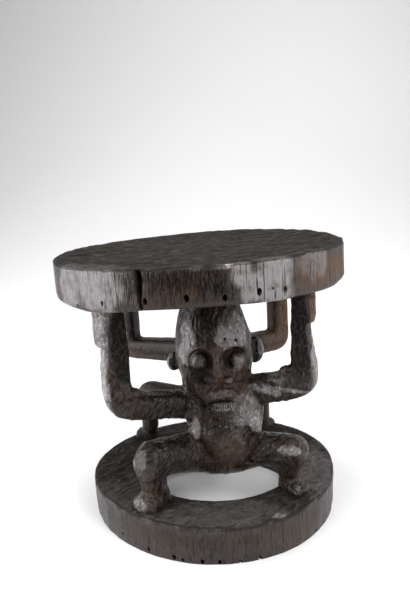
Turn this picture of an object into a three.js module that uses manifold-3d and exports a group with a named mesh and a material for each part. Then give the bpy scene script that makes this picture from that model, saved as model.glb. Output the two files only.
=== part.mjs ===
// Round stool carried by two squatting figures, back to back, carved from one block of dark hardwood.
// Millimetres, +Z up, the front figure facing -Y, the floor at z = 0.
// The two backs, four arms and four legs join a ring-shaped base to a dished round seat.
import * as THREE from "three";
import { mergeVertices } from "three/addons/utils/BufferGeometryUtils.js";
import Module from "manifold-3d";

const wasm = await Module();
wasm.setup();

// Seat
const stoolHeight = 415; // floor to the middle of the rim's plane
const seatRadius = 215;
const seatThickness = 58;
const seatDish = 5; // depth of the dish below the rim
const seatRimWidth = 15;
const seatLowerBevel = 5;
const seatTiltAcross = 0.96; // degrees, right side high
const seatTiltAlong = 0.56; // degrees, front side high
const seatLobes = [{ count: 3, share: 0.02, at: -21 }]; // how far the outline is out of round
const seatSag = { depth: 5, at: -160, span: 38 }; // low stretch of the rim, degrees from the front

// Base ring
const baseRadius = 195;
const baseFootRadius = 193;
const baseThickness = 56;
const baseEdgeBevel = 2;
const holeRadius = 118.5;
const baseShift = new THREE.Vector2(10.5, -6); // base centre from the seat's centre
const holeShift = new THREE.Vector2(8, -2); // hole centre from the base's centre
const baseLobes = [
  { count: 2, share: 0.007, at: -72 },
  { count: 3, share: 0.018, at: 42 },
];

// Split in the seat's rim
const splitAngle = -23.5; // degrees round from the front, left is negative
const splitWidth = 6.5;
const splitDepth = 48;

// Figures
const trunkShift = 6; // the figures' middle line from the base's centre, to the right
const seatSink = 20; // how far heads and forearms run up into the seat
const roundSegments = 48;
const holeSegments = 40;
const limbSides = 10;
const toeCount = 4;
const toothCount = 5;

const stoolColour = 0x2a211c;

const radians = THREE.MathUtils.degToRad;
const lerp = THREE.MathUtils.lerp;
const up = new THREE.Vector3(0, 0, 1);
const domeAngle = radians(48); // where a limb's domed end has its ring

// Heights that follow from the driving sizes
const baseTop = baseThickness;
const seatUnder = stoolHeight - seatThickness;
const figureHeight = seatUnder - baseTop;
const seatCentre = new THREE.Vector3(0, 0, stoolHeight);
const baseCentre = new THREE.Vector3(baseShift.x, baseShift.y, 0);
const trunk = new THREE.Vector2(baseShift.x + trunkShift, baseShift.y);
const ringWidth = baseRadius - holeRadius;
const ringMiddle = (baseRadius + holeRadius) / 2;

// A share of the figure's height as a length, and as a height above the floor
const part = (share) => share * figureHeight;
const level = (share) => baseTop + share * figureHeight;

// Solid from a closed three.js geometry
function solidOf(geometry) {
  const bare = geometry.index ? geometry.toNonIndexed() : geometry.clone();
  bare.deleteAttribute("normal");
  bare.deleteAttribute("uv");
  const merged = mergeVertices(bare, 1e-4);
  return new wasm.Manifold(
    new wasm.Mesh({
      numProp: 3,
      vertProperties: merged.attributes.position.array,
      triVerts: new Uint32Array(merged.index.array),
    }),
  );
}

// three.js geometry from a solid
function geometryOf(solid) {
  const mesh = solid.getMesh();
  const geometry = new THREE.BufferGeometry();
  geometry.setAttribute("position", new THREE.BufferAttribute(mesh.vertProperties, 3));
  geometry.setIndex(new THREE.BufferAttribute(mesh.triVerts, 1));
  geometry.computeVertexNormals();
  return geometry;
}

const joined = (solids) => solids.reduce((sum, solid) => sum.add(solid));

// Closed skin over rings of equally many points, each end drawn to a point
function skin(startPoint, rings, endPoint) {
  const sides = rings[0].length;
  const points = [startPoint, ...rings.flat(), endPoint];
  const last = points.length - 1;
  const index = [];
  for (let i = 0; i < sides; i++) {
    const next = (i + 1) % sides;
    index.push(0, 1 + next, 1 + i);
    for (let r = 0; r + 1 < rings.length; r++) {
      const here = 1 + r * sides;
      const above = here + sides;
      index.push(here + i, here + next, above + next);
      index.push(here + i, above + next, above + i);
    }
    const top = 1 + (rings.length - 1) * sides;
    index.push(top + i, top + next, last);
  }
  const geometry = new THREE.BufferGeometry().setFromPoints(points);
  geometry.setIndex(index);
  return solidOf(geometry);
}

// Point on a rounded square: power 2 is an ellipse, and higher is squarer
function roundSquare(angle, halfWidth, halfDepth, power) {
  const c = Math.cos(angle);
  const s = Math.sin(angle);
  return [
    halfWidth * Math.sign(c) * Math.abs(c) ** (2 / power),
    halfDepth * Math.sign(s) * Math.abs(s) ** (2 / power),
  ];
}

// Limb along a smooth path. Each size is [half width, half depth], the depth lying towards "face",
// and both ends are domed by "dome" times the smaller half size there.
function limb({ path, sizes, face, steps = 3, sides = limbSides, power = 2.5, dome = 1 }) {
  const curve = new THREE.CatmullRomCurve3(path, false, "centripetal");
  const sizeAt = (t) => {
    const place = t * (sizes.length - 1);
    const row = Math.min(Math.floor(place), sizes.length - 2);
    return [0, 1].map((k) => lerp(sizes[row][k], sizes[row + 1][k], place - row));
  };
  const ring = (t, shrink, ahead) => {
    const tangent = curve.getTangent(t);
    const across = new THREE.Vector3().crossVectors(face, tangent).normalize();
    const deep = new THREE.Vector3().crossVectors(tangent, across);
    const centre = curve.getPoint(t).addScaledVector(tangent, ahead);
    const [width, depth] = sizeAt(t);
    return Array.from({ length: sides }, (_, i) => {
      const angle = ((i + 0.5) / sides) * 2 * Math.PI;
      const [x, y] = roundSquare(angle, width * shrink, depth * shrink, power);
      return centre.clone().addScaledVector(across, x).addScaledVector(deep, y);
    });
  };
  const reach = (t) => dome * Math.min(...sizeAt(t));
  const pole = (t, sign) => curve.getPoint(t).addScaledVector(curve.getTangent(t), sign * reach(t));
  const rings = [];
  const c = Math.cos(domeAngle);
  const s = Math.sin(domeAngle);
  rings.push(ring(0, c, -s * reach(0)));
  for (let i = 0; i <= steps; i++) rings.push(ring(i / steps, 1, 0));
  rings.push(ring(1, c, s * reach(1)));
  return skin(pole(0, -1), rings, pole(1, 1));
}

// Egg shape with three radii
function ball(centre, radii, across = 12, upDown = 8) {
  const geometry = new THREE.SphereGeometry(1, across, upDown);
  geometry.rotateX(Math.PI / 2);
  geometry.scale(...radii);
  geometry.translate(centre.x, centre.y, centre.z);
  return solidOf(geometry);
}

// Point round a centre, the angle counted in degrees from the front towards the right
function around(centre, radius, degrees, height) {
  const a = radians(degrees);
  return new THREE.Vector3(centre.x + radius * Math.sin(a), centre.y - radius * Math.cos(a), height);
}

// The same angle of a point, in degrees
const degreesRound = (x, y) => THREE.MathUtils.radToDeg(Math.atan2(x, -y));

// Turned profile whose outline is pushed out of round by lobes
function turned(profile, segments, lobes) {
  const geometry = new THREE.LatheGeometry(profile, segments);
  geometry.rotateX(Math.PI / 2);
  const position = geometry.attributes.position;
  for (let i = 0; i < position.count; i++) {
    const angle = Math.atan2(position.getY(i), position.getX(i));
    let push = 1;
    for (const lobe of lobes) push += lobe.share * Math.cos(lobe.count * (angle - radians(lobe.at)));
    position.setXY(i, position.getX(i) * push, position.getY(i) * push);
  }
  return geometry;
}

// Seat: a thick disc with a shallow flat-bottomed dish, tilted a little, split at the rim
function seat() {
  const dishRadius = seatRadius - seatRimWidth;
  const dishFloor = dishRadius * 0.82;
  const profile = [
    [0, -seatThickness],
    [seatRadius - seatLowerBevel, -seatThickness],
    [seatRadius, seatLowerBevel * 1.4 - seatThickness],
    [seatRadius, -1.5],
    [seatRadius - 2, 0],
    [dishRadius, -0.6],
    [lerp(dishRadius, dishFloor, 0.45), -seatDish * 0.7],
    [dishFloor, -seatDish],
    [0, -seatDish],
  ].map(([x, y]) => new THREE.Vector2(x, y));
  const disc = turned(profile, roundSegments, seatLobes);
  const position = disc.attributes.position;
  for (let i = 0; i < position.count; i++) {
    const [x, y] = [position.getX(i), position.getY(i)];
    const outward = THREE.MathUtils.smoothstep(Math.hypot(x, y), dishFloor, seatRadius);
    const turn = THREE.MathUtils.euclideanModulo(degreesRound(x, y) - seatSag.at + 180, 360) - 180;
    const high = position.getZ(i) > -seatThickness / 2;
    const sag = high ? seatSag.depth * outward * Math.exp(-((turn / seatSag.span) ** 2)) : 0;
    position.setZ(i, position.getZ(i) - sag);
  }
  const wedge = new THREE.Shape([
    new THREE.Vector2(0, -seatRadius - seatRimWidth),
    new THREE.Vector2(splitWidth * 0.75, -seatRadius - seatRimWidth),
    new THREE.Vector2(splitWidth * 0.5, -seatRadius + splitDepth / 2),
    new THREE.Vector2(splitWidth * 0.2, -seatRadius + splitDepth),
    new THREE.Vector2(-splitWidth * 0.3, -seatRadius + splitDepth / 2),
    new THREE.Vector2(-splitWidth * 0.45, -seatRadius - seatRimWidth),
  ]);
  const slit = new THREE.ExtrudeGeometry(wedge, { depth: 3 * seatThickness, bevelEnabled: false });
  slit.translate(0, 0, -2 * seatThickness);
  slit.rotateZ(radians(splitAngle));
  const whole = solidOf(disc).subtract(solidOf(slit));
  return whole
    .rotate([-seatTiltAlong, -seatTiltAcross, 0])
    .translate([seatCentre.x, seatCentre.y, seatCentre.z]);
}

// Base: a flat ring that stands on the floor
function base() {
  const profile = [
    [0, 0],
    [baseFootRadius - baseEdgeBevel, 0],
    [baseFootRadius, baseEdgeBevel],
    [baseRadius, baseThickness - baseEdgeBevel],
    [baseRadius - baseEdgeBevel, baseThickness],
    [0, baseThickness],
  ].map(([x, y]) => new THREE.Vector2(x, y));
  const disc = solidOf(turned(profile, roundSegments, baseLobes));
  const drum = new THREE.CylinderGeometry(holeRadius, holeRadius, 3 * baseThickness, holeSegments);
  drum.rotateX(Math.PI / 2);
  drum.translate(holeShift.x, holeShift.y, 0);
  return disc.subtract(solidOf(drum)).translate([baseCentre.x, baseCentre.y, 0]);
}

// Point of a figure's own body: right of its middle line as seen from its front, out from the
// shared back, and up by shares of its height. "facing" is -1 for the front figure and 1 behind.
function bodyPoint(facing, right, out, height) {
  return new THREE.Vector3(
    trunk.x - facing * part(right),
    trunk.y + facing * part(out),
    level(height),
  );
}

// Head: rings from chin to crown. Each row is height, half width, depth to the front and to the
// back of the ring's centre, and the centre's shift to the right, all as shares of the height.
const headOut = 0.16;
const headRows = [
  [0.375, 0.06, 0.09, 0.1, 0.012],
  [0.405, 0.105, 0.145, 0.13, 0.012],
  [0.46, 0.132, 0.168, 0.15, 0.01],
  [0.52, 0.155, 0.165, 0.16, 0.006],
  [0.585, 0.172, 0.155, 0.165, 0.002],
  [0.65, 0.183, 0.152, 0.17, 0],
  [0.715, 0.184, 0.165, 0.17, 0],
  [0.79, 0.172, 0.165, 0.165, 0],
  [0.87, 0.153, 0.148, 0.155, 0],
  [0.94, 0.136, 0.13, 0.145, 0],
  [1.0, 0.128, 0.12, 0.14, 0],
];
const eyeLevel = 0.66;
const mouthLevel = 0.455;

function headBlock(facing) {
  const sides = 16;
  const sunk = headRows.at(-1).slice();
  sunk[0] += seatSink / figureHeight;
  const rings = [...headRows, sunk].map(([height, width, front, back, shift]) =>
    Array.from({ length: sides }, (_, i) => {
      const angle = ((i + 0.5) / sides) * 2 * Math.PI;
      const [x, y] = roundSquare(angle, width, 1, 2.3);
      const out = headOut - y * (y < 0 ? front : back);
      return bodyPoint(facing, shift + x, out, height);
    }),
  );
  const [chinHeight, , , , chinShift] = headRows[0];
  const chin = bodyPoint(facing, chinShift, headOut, chinHeight - 0.02);
  const crown = bodyPoint(facing, 0, headOut, sunk[0] + 0.01);
  return skin(chin, rings, crown);
}

// Head with deep round sockets, bulging eyes, a long nose, an open mouth and small ears
function head(facing, { withTeeth, ears }) {
  const at = (right, out, height) => bodyPoint(facing, right, out, height);
  const size = (...shares) => shares.map(part);
  const forward = new THREE.Vector3(0, facing, 0);
  const eyes = [-0.085, 0.098];
  let solid = headBlock(facing);
  for (const x of eyes) {
    solid = solid.subtract(ball(at(x, 0.345, eyeLevel - 0.012), size(0.066, 0.078, 0.074), 10, 6));
  }
  const eyeballs = eyes.map((x) => ball(at(x, 0.28, eyeLevel), size(0.036, 0.036, 0.036), 8, 6));
  const nose = limb({
    path: [at(0, 0.29, 0.76), at(0.002, 0.318, 0.66), at(0.002, 0.345, 0.57)],
    sizes: [size(0.014, 0.022), size(0.018, 0.026), size(0.034, 0.03)],
    face: forward,
    sides: 8,
    steps: 2,
  });
  const nostrils = [-0.034, 0.036].map((x) => ball(at(x, 0.33, 0.562), size(0.023, 0.022, 0.02), 6, 4));
  solid = joined([solid, ...eyeballs, nose, ...nostrils]);
  const lip = (rise, drop, thick) =>
    limb({
      path: [
        at(-0.08, 0.265, mouthLevel + drop),
        at(-0.04, 0.33, mouthLevel + rise),
        at(0.012, 0.348, mouthLevel + rise * 1.15),
        at(0.062, 0.33, mouthLevel + rise),
        at(0.102, 0.265, mouthLevel + drop),
      ],
      sizes: [size(0.012, 0.02), size(thick, 0.03), size(thick, 0.032), size(thick, 0.03), size(0.012, 0.02)],
      face: forward,
      sides: 6,
      steps: 6,
    });
  solid = joined([solid, lip(0.046, 0.008, 0.027), lip(-0.042, -0.006, 0.023)]);
  solid = solid.subtract(ball(at(0.012, 0.335, mouthLevel), size(0.062, 0.06, 0.021), 10, 4));
  if (withTeeth) {
    for (let i = 0; i < toothCount; i++) {
      const share = (i - (toothCount - 1) / 2) / toothCount;
      for (const row of [-1, 1]) {
        const tooth = new THREE.BoxGeometry(...size(0.016, 0.03, 0.022));
        const place = at(0.012 + share * 0.1, 0.308 - share * share * 0.09, mouthLevel + row * 0.015);
        tooth.translate(place.x, place.y, place.z);
        solid = solid.add(solidOf(tooth));
      }
    }
  }
  for (const [right, height, wide] of ears) {
    const lobe = ball(at(right, 0.125, height), size(wide, 0.024, 0.045), 8, 6);
    const bowl = ball(at(right * 1.08, 0.15, height), size(wide * 0.5, 0.02, 0.026), 6, 4);
    solid = solid.add(lobe.subtract(bowl));
  }
  return solid;
}

// Trunk: chest, hanging breast muscles, round belly and hips, run back to the shared spine
function trunkBlock(facing) {
  const at = (right, out, height) => bodyPoint(facing, right, out, height);
  const size = (...shares) => shares.map(part);
  const muscle = (right, low, wide) =>
    limb({
      path: [at(right * 0.75, 0.21, 0.5), at(right, 0.27, 0.42), at(right * 1.1, 0.29, low)],
      sizes: [size(wide, 0.08), size(wide, 0.078), size(wide * 0.5, 0.045)],
      face: new THREE.Vector3(0, facing, 0),
      sides: 8,
    });
  return joined([
    ball(at(0.015, 0.17, 0.42), size(0.18, 0.17, 0.14), 12, 8),
    ball(at(0.022, 0.205, 0.25), size(0.198, 0.162, 0.192), 14, 10),
    ball(at(0.015, 0.14, 0.2), size(0.2, 0.15, 0.11), 12, 6),
    muscle(0.135, 0.345, 0.085),
    muscle(-0.112, 0.315, 0.048),
  ]);
}

// Spine that both figures share, from the hips up into the seat
function spine() {
  const foot = new THREE.Vector3(trunk.x, trunk.y, level(0.2));
  const top = new THREE.Vector3(trunk.x, trunk.y, seatUnder + seatSink / 2);
  const half = [part(0.12), part(0.17)];
  return limb({
    path: [foot, top],
    sizes: [half, half],
    face: new THREE.Vector3(0, 1, 0),
    steps: 1,
    dome: 0.2,
  });
}

// Arm: upper arm out to the elbow, forearm up into the seat, and a hand folded down outside it
function arm({ facing, side, angle, inset, splay, elbow, shoulder, upper, fore, hand, handTurn, handOut, outward }) {
  const plan = around(seatCentre, seatRadius - inset, angle, 0);
  const elbowPoint = around(seatCentre, seatRadius - inset + part(splay), angle, level(elbow));
  const shoulderPoint = bodyPoint(facing, side * -facing * 0.1, 0.17, shoulder);
  const seatPoint = new THREE.Vector3(plan.x, plan.y, seatUnder + seatSink);
  const out = around(new THREE.Vector3(), 1, outward, 0);
  const halfUpper = part(upper);
  const halfFore = part(fore);
  const thick = (half, ...shares) => shares.map((share) => half * share);
  const armEnd = elbowPoint.clone().add(shoulderPoint.clone().sub(elbowPoint).setLength(halfFore * 0.4));
  const foreEnd = elbowPoint.clone().setZ(elbowPoint.z + halfUpper * 0.4);
  const upperArm = limb({
    path: [shoulderPoint, shoulderPoint.clone().lerp(armEnd, 0.5), armEnd],
    sizes: [thick(halfUpper, 1.15, 1.15), thick(halfUpper, 1, 1), thick(halfUpper, 0.9, 0.95)],
    face: up,
    power: 2.8,
  });
  const foreArm = limb({
    path: [foreEnd, foreEnd.clone().lerp(seatPoint, 0.4), seatPoint],
    sizes: [thick(halfFore, 1.1, 1.1), thick(halfFore, 1, 1.05), thick(halfFore, 0.8, 0.85)],
    face: out,
    power: 3,
  });
  const tip = plan.clone().addScaledVector(around(new THREE.Vector3(), 1, handTurn, 0), part(handOut));
  tip.setZ(level(hand));
  const tongue = limb({
    path: [tip, tip.clone().setZ(seatUnder + seatSink)],
    sizes: [[part(0.045), part(0.024)], [part(0.05), part(0.03)]],
    face: around(new THREE.Vector3(), 1, handTurn, 0),
    steps: 2,
    sides: 8,
    power: 3,
  });
  return joined([upperArm, foreArm, tongue]);
}

// Leg: thigh out to the knee, shin down to a broad foot that lies on the ring
function leg({ facing, side, angle, off, point, long, wide, knee, kneeOut, hip, thigh, shin, ankle }) {
  const along = around(new THREE.Vector3(), 1, point, 0);
  const footMiddle = around(baseCentre, ringMiddle + off * ringWidth, angle, baseTop);
  const heel = footMiddle.clone().addScaledVector(along, -0.32 * long * ringWidth);
  const toe = footMiddle.clone().addScaledVector(along, 0.32 * long * ringWidth);
  const anklePoint = heel.clone().addScaledVector(along, 0.1 * long * ringWidth).setZ(level(ankle));
  const kneePoint = around(baseCentre, ringMiddle + kneeOut * ringWidth, angle, level(knee));
  const hipPoint = bodyPoint(facing, side * -facing * 0.1, 0.2, hip);
  const thick = (half, ...shares) => shares.map((share) => part(half) * share);
  const thighLimb = limb({
    path: [hipPoint, hipPoint.clone().lerp(kneePoint, 0.5), kneePoint],
    sizes: [thick(thigh, 1.1, 1.15), thick(thigh, 1, 1.02), thick(thigh, 0.9, 0.8)],
    face: up,
    dome: 0.8,
  });
  const shinLimb = limb({
    path: [kneePoint, kneePoint.clone().lerp(anklePoint, 0.55), anklePoint],
    sizes: [thick(shin, 1.15, 1.15), thick(shin, 1, 1), thick(shin, 0.92, 1)],
    face: along,
    dome: 0.8,
  });
  const half = (wide * ringWidth) / 2;
  const high = (share) => baseTop + half * share;
  const foot = limb({
    path: [heel.setZ(high(0.3)), footMiddle.setZ(high(0.1)), toe.clone().setZ(high(-0.1))],
    sizes: [[half * 0.75, half * 0.95], [half * 0.9, half * 0.9], [half, half * 0.6]],
    face: up,
    dome: 0.5,
    steps: 2,
  });
  const across = new THREE.Vector3().crossVectors(up, along);
  const toes = Array.from({ length: toeCount }, (_, i) => {
    const share = (i + 0.5) / toeCount - 0.5;
    const centre = toe.clone().addScaledVector(across, share * 1.9 * half);
    centre.addScaledVector(along, half * (0.2 - share * share)).setZ(high(0));
    return ball(centre, [half * 0.3, half * 0.3, half * 0.48], 6, 4);
  });
  return joined([thighLimb, shinLimb, foot, ...toes]);
}

// Arms and legs, with angles in degrees round from the front, left negative. Heights, half
// thicknesses and splay are shares of the figure's height; places and lengths on the ring are
// shares of its width.
const limbs = [
  {
    facing: -1,
    side: -1,
    arm: {
      angle: -42.4,
      inset: 39,
      splay: 0.022,
      elbow: 0.52,
      shoulder: 0.43,
      upper: 0.066,
      fore: 0.064,
      hand: 0.83,
      handTurn: -78,
      handOut: 0.072,
      outward: -63,
    },
    leg: {
      angle: -38,
      off: -0.04,
      point: -36,
      long: 0.68,
      wide: 0.56,
      knee: 0.245,
      kneeOut: 0,
      hip: 0.18,
      thigh: 0.083,
      shin: 0.057,
      ankle: 0.08,
    },
  },
  {
    facing: -1,
    side: 1,
    arm: {
      angle: 46.7,
      inset: 26,
      splay: 0.003,
      elbow: 0.58,
      shoulder: 0.45,
      upper: 0.075,
      fore: 0.062,
      hand: 0.86,
      handTurn: 38,
      handOut: 0.04,
      outward: 60,
    },
    leg: {
      angle: 48.5,
      off: 0,
      point: 40,
      long: 0.58,
      wide: 0.48,
      knee: 0.205,
      kneeOut: 0.02,
      hip: 0.18,
      thigh: 0.077,
      shin: 0.048,
      ankle: 0.07,
    },
  },
  {
    facing: 1,
    side: -1,
    arm: {
      angle: -134.4,
      inset: 46,
      splay: 0.005,
      elbow: 0.56,
      shoulder: 0.59,
      upper: 0.06,
      fore: 0.056,
      hand: 0.84,
      handTurn: -160,
      handOut: 0.06,
      outward: -118,
    },
    leg: {
      angle: -141,
      off: 0.22,
      point: -110,
      long: 0.66,
      wide: 0.5,
      knee: 0.285,
      kneeOut: 0.06,
      hip: 0.27,
      thigh: 0.07,
      shin: 0.047,
      ankle: 0.07,
    },
  },
  {
    facing: 1,
    side: 1,
    arm: {
      angle: 131,
      inset: 36,
      splay: 0.003,
      elbow: 0.56,
      shoulder: 0.59,
      upper: 0.06,
      fore: 0.056,
      hand: 0.84,
      handTurn: 160,
      handOut: 0.06,
      outward: 118,
    },
    leg: {
      angle: 145,
      off: 0.2,
      point: 140,
      long: 0.66,
      wide: 0.5,
      knee: 0.275,
      kneeOut: 0.06,
      hip: 0.27,
      thigh: 0.07,
      shin: 0.047,
      ankle: 0.07,
    },
  },
];

// Each ear: how far right, at what height, and how wide
const frontEars = [
  [-0.185, eyeLevel - 0.03, 0.042],
  [0.2, eyeLevel + 0.015, 0.046],
];
const backEars = [
  [-0.165, eyeLevel, 0.03],
  [0.165, eyeLevel, 0.03],
];

function figures() {
  const solids = [
    spine(),
    trunkBlock(-1),
    trunkBlock(1),
    head(-1, { withTeeth: true, ears: frontEars }),
    head(1, { withTeeth: false, ears: backEars }),
  ];
  for (const { facing, side, arm: armSizes, leg: legSizes } of limbs) {
    solids.push(arm({ facing, side, ...armSizes }));
    solids.push(leg({ facing, side, ...legSizes }));
  }
  return joined(solids);
}

const darkWood = new THREE.MeshStandardMaterial({ color: stoolColour, roughness: 0.55, metalness: 0 });
const stool = new THREE.Mesh(geometryOf(joined([base(), seat(), figures()])), darkWood);
stool.name = "stool";

// The origin is on the floor, in the middle of the stool's plan
const extent = new THREE.Box3().setFromBufferAttribute(stool.geometry.attributes.position);
const centre = extent.getCenter(new THREE.Vector3());
const whole = new THREE.Group();
whole.add(stool);
whole.position.set(-centre.x, -centre.y, 0);

export default whole;
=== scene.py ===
# Round wooden stool on two squatting figures, back to back, over a ring base.
# Every form is a numpy surface in millimetres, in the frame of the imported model, and goes
# into Blender in metres. The figures are fused, tooled, and then joined to seat and ring.
import math

import bpy
import numpy as np
from mathutils import Matrix


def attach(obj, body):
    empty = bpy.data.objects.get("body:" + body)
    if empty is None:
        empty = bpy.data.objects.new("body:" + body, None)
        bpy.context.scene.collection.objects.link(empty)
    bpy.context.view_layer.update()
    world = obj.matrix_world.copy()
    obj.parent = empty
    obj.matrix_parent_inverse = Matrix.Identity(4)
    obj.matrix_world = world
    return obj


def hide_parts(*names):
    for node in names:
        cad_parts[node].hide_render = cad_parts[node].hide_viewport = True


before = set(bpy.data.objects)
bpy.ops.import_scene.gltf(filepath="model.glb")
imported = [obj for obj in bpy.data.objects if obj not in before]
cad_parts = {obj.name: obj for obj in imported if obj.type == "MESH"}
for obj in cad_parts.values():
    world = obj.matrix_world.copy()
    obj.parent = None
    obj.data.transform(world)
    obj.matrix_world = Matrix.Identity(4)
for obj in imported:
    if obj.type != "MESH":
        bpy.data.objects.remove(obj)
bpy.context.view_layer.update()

mm = 0.001

# Where the big pieces sit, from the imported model
places = {
    "seatCentre": (-2.4, -3.6),
    "seatUnder": 357.0,
    "seatTop": 415.0,
    "ringCentre": (8.1, -9.6),
    "ringTop": 56.0,
    "holeCentre": (16.1, -11.6),
    "bodyCentre": (14.1, -9.6),
}
figureHeight = places["seatUnder"] - places["ringTop"]


# Camera, lights and floor

view = {
    "place": (-20.8, -1029.65, 548.88),  # mm
    "right": (0.99802, -0.03709, -0.05072),
    "up": (0.05768, 0.22078, 0.97362),
    "ahead": (0.02492, 0.97462, -0.22249),
    "focalShare": 679.9 / 615,  # focal length in picture heights
    "sensor": 24,  # mm
    "farthest": 30,  # metres
}


# Links a camera or lamp into the scene at a place in metres: its own x to the right, y up and
# its back to where it looks
def aimed(name, data, right, up, ahead, place):
    obj = bpy.data.objects.new(name, data)
    matrix = np.eye(4)
    matrix[:3] = np.stack([right, up, -np.asarray(ahead), place], 1)
    obj.matrix_world = Matrix(matrix.tolist())
    bpy.context.scene.collection.objects.link(obj)
    return obj


def makeCamera():
    data = bpy.data.cameras.new("camera")
    data.sensor_fit = "VERTICAL"
    data.sensor_height = view["sensor"]
    data.lens = view["sensor"] * view["focalShare"]
    data.clip_end = view["farthest"]
    place = np.array(view["place"]) * mm
    bpy.context.scene.camera = aimed("camera", data, view["right"], view["up"], view["ahead"], place)


# Lamps: turn in degrees from the front towards the right, power in watts and lengths in metres.
# Each looks at the stool's middle line, "aim" above the floor and "reach" behind.
usualLamp = {"distance": 1.5, "height": 1.3, "width": 0.7, "tall": 0.8, "aim": 0.3, "reach": 0.0}
lamps = {
    "leftBack": {"turn": -125, "power": 10.0},
    "left": {"turn": -100, "height": 0.45, "power": 5.7},
    "leftFront": {"turn": -75, "height": 0.45, "power": 15.4},
    "leftHigh": {"turn": -40, "power": 4.0},
    "front": {"turn": 0, "distance": 0.6, "height": 2.2, "width": 1.6, "tall": 1.2, "power": 27.0},
    "rightFront": {"turn": 30, "power": 14.9},
    "right": {"turn": 50, "height": 0.45, "power": 6.9},
    "rightBack": {"turn": 95, "height": 0.45, "power": 4.7},
    "rightBackHigh": {"turn": 125, "power": 8.0, "aim": 0.1},
    "backdrop": {
        "turn": 155, "distance": 1.6, "height": 2.3, "width": 2.6, "tall": 1.0, "power": 33.5,
        "aim": 0.4, "reach": 3.2,
    },
}


def makeLamps():
    for name, own in lamps.items():
        lamp = {**usualLamp, **own}
        data = bpy.data.lights.new(name, "AREA")
        data.shape = "RECTANGLE"
        data.size = lamp["width"]
        data.size_y = lamp["tall"]
        data.energy = lamp["power"]
        turn, far = math.radians(lamp["turn"]), lamp["distance"]
        place = np.array([math.sin(turn) * far, -math.cos(turn) * far, lamp["height"]])
        ahead = np.array([0, lamp["reach"], lamp["aim"]]) - place
        ahead /= np.linalg.norm(ahead)
        right = np.cross(ahead, (0, 0, 1))
        right /= np.linalg.norm(right)
        aimed(name, data, right, np.cross(right, ahead), ahead, place)


studio = {
    "paperColour": (0.9, 0.9, 0.91),
    "paperRoughness": 0.9,
    "front": -0.7,  # metres along y, where the paper ends in front of the stool
    "bendStart": 0.9,  # metres along y, where it starts to curve up
    "bendRadius": 2.8,
    "top": 6,
    "halfWidth": 6,
    "ambient": (0.95, 0.97, 1.0),
    "ambientStrength": 0.01,
}


# Floor that curves up into a back wall: a straight run, a quarter circle and a rise, as one sheet
def makeFloor():
    bend = np.linspace(0, math.pi / 2, 24)
    far, radius, wide = studio["bendStart"], studio["bendRadius"], studio["halfWidth"]
    y = np.concatenate([[studio["front"], 0], far + radius * np.sin(bend), [far + radius]])
    z = np.concatenate([[0, 0], radius * (1 - np.cos(bend)), [studio["top"]]])
    x = np.linspace(-wide, wide, 3)
    grid = np.stack(np.broadcast_arrays(x[None, :], y[:, None], z[:, None]), 2)
    rows, columns = grid.shape[:2]
    corner = (np.arange(rows - 1)[:, None] * columns + np.arange(columns - 1)).ravel()
    faces = np.stack([corner, corner + 1, corner + columns + 1, corner + columns], 1)
    mesh = bpy.data.meshes.new("floor")
    mesh.from_pydata(grid.reshape(-1, 3).tolist(), [], faces.tolist())
    mesh.shade_smooth()
    floor = bpy.data.objects.new("floor", mesh)
    bpy.context.scene.collection.objects.link(floor)
    paper = bpy.data.materials.new("palePaper")
    paper.use_nodes = True
    shader = paper.node_tree.nodes["Principled BSDF"]
    shader.inputs["Base Color"].default_value = (*studio["paperColour"], 1)
    shader.inputs["Roughness"].default_value = studio["paperRoughness"]
    mesh.materials.append(paper)
    world = bpy.data.worlds.new("softRoom")
    world.use_nodes = True
    sky = world.node_tree.nodes["Background"]
    sky.inputs["Color"].default_value = (*studio["ambient"], 1)
    sky.inputs["Strength"].default_value = studio["ambientStrength"]
    bpy.context.scene.world = world
    bpy.context.scene.view_settings.view_transform = "Standard"


makeCamera()
makeLamps()
makeFloor()
print("camera, lamps and floor made")


# Numbers over whole arrays

tableSize = 4096  # random values for each seed, a power of two


# Share from 0 to 1 that eases in and out between two values
def easeBetween(value, low, high):
    t = np.clip((value - low) / (high - low), 0, 1)
    return t * t * (3 - 2 * t)


# Whole number per lattice cell, mixed from its three indices
def cellMark(cell):
    return (cell[:, 0] * 73856093) ^ (cell[:, 1] * 19349663) ^ (cell[:, 2] * 83492791)


# Soft noise from -1 to 1: a random value at each lattice corner, blended by smooth weights
def softNoise(points, size, seed):
    table = np.random.default_rng(seed).random(tableSize) * 2 - 1
    q = points / np.asarray(size, float)
    cell = np.floor(q).astype(np.int64)
    f = q - cell
    ease = f * f * f * (f * (f * 6 - 15) + 10)
    total = np.zeros(len(q))
    for corner in np.ndindex(2, 2, 2):
        pick = np.where(np.array(corner) == 1, ease, 1 - ease)
        total += table[cellMark(cell + np.array(corner)) & (tableSize - 1)] * pick.prod(1)
    return total


# Scoop marks: squared distance, in lattice steps, to the nearest of one jittered centre per cell
def scoopMarks(points, size, seed):
    table = np.random.default_rng(seed).random(tableSize)
    q = points / np.asarray(size, float)
    cell = np.floor(q).astype(np.int64)
    near = np.full(len(q), 9.0)
    for step in np.ndindex(3, 3, 3):
        there = cell + np.array(step) - 1
        mark = cellMark(there)
        jitter = np.stack([table[(mark >> shift) & (tableSize - 1)] for shift in (0, 7, 13)], 1)
        near = np.minimum(near, ((q - there - jitter) ** 2).sum(1))
    return near


# Depth of overlapping cuts: rows hold the size of one in mm, its depth, the level at which it
# leaves the surface alone, and a seed
def cutDepth(points, rows):
    return sum(depth * (scoopMarks(points, size, seed) - level) for size, depth, level, seed in rows)


# Height of noise in layers: rows hold a size and a height in mm, and a seed
def noiseHeight(points, rows):
    return sum(height * softNoise(points, size, seed) for size, height, seed in rows)


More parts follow.
